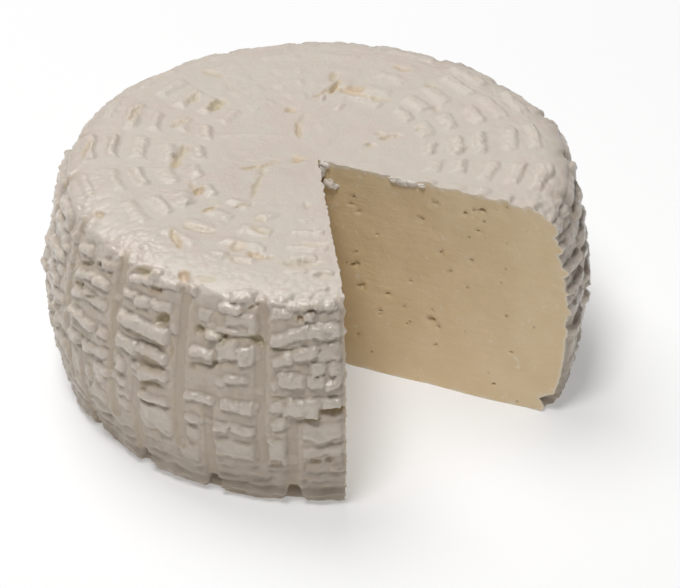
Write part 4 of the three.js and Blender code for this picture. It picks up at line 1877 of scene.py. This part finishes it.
    @staticmethod
    def _assemble(vertices: Array, parts: list[tuple[Array, Array, int]], masks: dict[str, Array],
                  sharp_ids: Array) -> Piece:
        """Make the mesh, its masks, its sharp cut edges and its two finishes.

        Args:
            vertices: All points.
            parts: Quads, triangles and finish number of each part of the surface.
            masks: One value for each vertex, by name.
            sharp_ids: Vertices on the cut's edges.

        Returns:
            The piece.
        """
        quads, triangles = (np.concatenate([part[size] for part in parts]) for size in range(2))
        finish = [np.full(len(part[size]), part[2]) for size in range(2) for part in parts]
        piece = new_piece("cheese_wheel", vertices, quads, triangles)
        mesh = piece.data
        mesh.polygons.foreach_set("material_index", np.concatenate(finish).astype(np.int32))
        for name, mask in masks.items():
            write_mask(piece, name, mask)
        edges = np.empty(2 * len(mesh.edges), np.int32)
        mesh.edges.foreach_get("vertices", edges)
        on_cut = np.zeros(len(vertices), bool)
        on_cut[sharp_ids] = True
        sharp = on_cut[edges.reshape(-1, 2)].all(axis=-1)
        mesh.attributes.new("sharp_edge", "BOOLEAN", "EDGE").data.foreach_set("value", sharp)
        for dress in (RindFinish(), PasteFinish()):
            mesh.materials.append(dress.material())
        mesh.update()
        log.info("%s: %d vertices, %d triangles", piece.name, len(vertices), 2 * len(quads) + len(triangles))
        return piece


@dataclass(frozen=True)
class Crumb:
    """One crumb of curd.

    Attributes:
        place: Its middle, mm.
        size: Its length, breadth and height, mm.
        azimuth: Degrees that its length is turned from +X.
    """

    place: tuple[float, float, float]
    size: tuple[float, float, float]
    azimuth: float = -29.5


@dataclass(frozen=True)
class Crumbs:
    """White crumbs of curd that the knife left on the cut's upper edge."""

    crumbs: tuple[Crumb, ...] = (
        Crumb((3.8, -2.7, 77.6), (5.6, 3.2, 3.8)),
        Crumb((6.0, -3.9, 76.8), (3.0, 2.0, 2.4)),
        Crumb((1.5, -1.6, 82.6), (2.6, 2.0, 5.0)),
        Crumb((2.1, -1.6, 85.0), (4.0, 2.4, 3.0)),
        Crumb((28.6, -16.4, 85.0), (6.2, 2.0, 3.0)),
        Crumb((32.0, -18.4, 85.5), (5.4, 1.8, 2.2)),
        Crumb((25.8, -15.0, 85.2), (3.6, 1.8, 2.2)),
        Crumb((35.2, -20.4, 85.5), (3.2, 1.6, 1.6)),
        Crumb((-0.9, -46.0, 72.0), (1.8, 2.4, 1.8), 270.0),
    )
    columns: int = 24
    rows: int = 16
    finish: RindFinish = RindFinish(
        name="curd_crumb", ivory=(0.710, 0.648, 0.570), rosy=(0.710, 0.640, 0.560),
        cool=(0.700, 0.645, 0.565), glow=0.1, glow_depth=0.6,
    )
    first_seed: int = 60

    def build(self) -> Piece:
        """Make all crumbs as one piece and dress it like the rind.

        Returns:
            The piece.
        """
        ball, quads, triangles = self._ball()
        starts = len(ball) * np.arange(len(self.crumbs))[:, None, None]
        points = np.concatenate([self._shaped(ball, crumb, Noise(self.first_seed + number))
                                 for number, crumb in enumerate(self.crumbs)])
        piece = new_piece("curd_crumbs", points, (quads + starts).reshape(-1, 4),
                          (triangles + starts).reshape(-1, 3))
        piece.data.materials.append(self.finish.material())
        log.info("%s: %d crumbs", piece.name, len(self.crumbs))
        return piece

    def _ball(self) -> tuple[Array, Array, Array]:
        """Make a ball of radius 1, closed at its seam and poles.

        Formula: a point's longitude is its column's share of a turn, and its latitude its
        row's share of the way from pole to pole.

        Returns:
            Its points, quads and triangles.
        """
        turn = np.linspace(0.0, 2.0 * math.pi, self.columns + 1)[None, :]
        climb = np.linspace(-0.5 * math.pi, 0.5 * math.pi, self.rows + 1)[:, None]
        ball = np.stack(np.broadcast_arrays(
            np.cos(climb) * np.cos(turn), np.cos(climb) * np.sin(turn), np.sin(climb)), axis=-1)
        ids = np.arange(ball[..., 0].size).reshape(ball.shape[:2])
        ids[:, -1] = ids[:, 0]
        ids[0], ids[-1] = ids[0, 0], ids[-1, 0]
        used, flat = np.unique(ids, return_inverse=True)
        return ball.reshape(-1, 3)[used], *grid_faces(flat.reshape(ids.shape))

    @staticmethod
    def _shaped(ball: Array, crumb: Crumb, noise: Noise) -> Array:
        """Shape one crumb.

        Formula: the ball's radius is changed by packed cells and by noise, then it is
        stretched to the crumb's size, turned and put in its place.

        Args:
            ball: Points of a ball of radius 1.
            crumb: The crumb.
            noise: Its own noise.

        Returns:
            The crumb's points, mm.
        """
        dome, _ = noise.pebbles(ball + 3.0, 0.7)
        radius = 0.5 * (0.75 + 0.45 * noise.waves(ball, 1.1) + 0.2 * noise.waves(ball, 0.5) + 0.3 * dome)
        angle = math.radians(crumb.azimuth)
        spin = np.array([[math.cos(angle), math.sin(angle), 0.0],
                         [-math.sin(angle), math.cos(angle), 0.0], UPWARDS])
        return ball * radius[:, None] * np.array(crumb.size) @ spin + np.array(crumb.place)


# ---------------------------------------------------------------------------- studio

@dataclass(frozen=True)
class Studio:
    """Plain pale floor, plain soft light and the camera, in metres and degrees.

    The camera's focal length and the picture's width are in pixels, and the film's in mm.
    """

    floor_size: float = 8.0
    floor_white: float = 0.66
    floor_glow: float = 0.32
    sky: float = 0.1
    key_place: tuple[float, float, float] = (-0.5, 0.95, 2.2)
    key_size: float = 1.4
    key_watts: float = 34.0
    fill_place: tuple[float, float, float] = (-0.5, -0.85, 2.45)
    fill_size: float = 0.7
    fill_watts: float = 33.0
    camera_distance: float = 1.598
    camera_climb: float = 32.91
    camera_azimuth: float = -95.7
    pivot_height: float = 0.0435
    aim: tuple[float, float, float] = (0.00803, -0.0008, 0.02816)
    focal_pixels: float = 4356.0
    frame_pixels: float = 680.0
    sensor_width: float = 36.0

    def build(self) -> None:
        """Set up the floor, the lights and the camera."""
        self._floor()
        self._world()
        self._lamp("key", self.key_place, self.key_size, self.key_watts)
        self._lamp("fill", self.fill_place, self.fill_size, self.fill_watts)
        self._camera()

    def _floor(self) -> None:
        """Lay the floor just under the wheel."""
        half = self.floor_size / 2.0
        corners = np.array([[-half, -half, 0.0], [half, -half, 0.0], [half, half, 0.0], [-half, half, 0.0]])
        piece = new_piece("floor", corners / MM, np.array([[0, 1, 2, 3]]), np.empty((0, 3), int))
        tree = Tree("floor_white")
        white = self.floor_white
        piece.data.materials.append(tree.finish(
            Base_Color=(white, white, white, 1.0), Roughness=0.7, Emission_Color=(1.0, 1.0, 1.0, 1.0),
            Emission_Strength=self.floor_glow, Specular_IOR_Level=0.1,
        ))

    def _world(self) -> None:
        """Fill the room with even white light."""
        world = bpy.data.worlds.new("studio")
        world.use_nodes = True
        background = world.node_tree.nodes["Background"]
        background.inputs["Color"].default_value = (1.0, 1.0, 1.0, 1.0)
        background.inputs["Strength"].default_value = self.sky
        bpy.context.scene.world = world
        bpy.context.scene.view_settings.view_transform = "Standard"

    def _lamp(self, name: str, place: tuple[float, float, float], size: float, watts: float) -> None:
        """Hang a square soft light that looks at the wheel.

        Args:
            name: Name of the light.
            place: Where it hangs, m.
            size: Its side, m.
            watts: Its power.
        """
        data = bpy.data.lights.new(name, "AREA")
        data.size = size
        data.energy = watts
        lamp = bpy.data.objects.new(name, data)
        lamp.location = place
        lamp.rotation_euler = (Vector(self.aim) - Vector(place)).to_track_quat("-Z", "Y").to_euler()
        bpy.context.scene.collection.objects.link(lamp)

    def _camera(self) -> None:
        """Stand the camera where the picture was taken from."""
        climb, azimuth = math.radians(self.camera_climb), math.radians(self.camera_azimuth)
        level = self.camera_distance * math.cos(climb)
        place = Vector((level * math.cos(azimuth), level * math.sin(azimuth),
                        self.pivot_height + self.camera_distance * math.sin(climb)))
        data = bpy.data.cameras.new("camera")
        data.sensor_width = self.sensor_width
        data.lens = self.focal_pixels * self.sensor_width / self.frame_pixels
        camera = bpy.data.objects.new("camera", data)
        camera.location = place
        camera.rotation_euler = (Vector(self.aim) - place).to_track_quat("-Z", "Y").to_euler()
        bpy.context.scene.collection.objects.link(camera)
        bpy.context.scene.camera = camera


def main(studio: Studio = Studio()) -> None:
    """Build the wheel and the studio, and log the wheel's vertices and triangles and the number of crumbs.

    Args:
        studio: The floor, light and camera.
    """
    logging.basicConfig(level=logging.INFO, format="%(name)s: %(message)s")
    studio.build()
    wheel = Wheel().build()
    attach(wheel, BODY)
    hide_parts(NODE)
    crumbs = Crumbs().build()
    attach(crumbs, BODY)


if __name__ == "__main__":
    main()
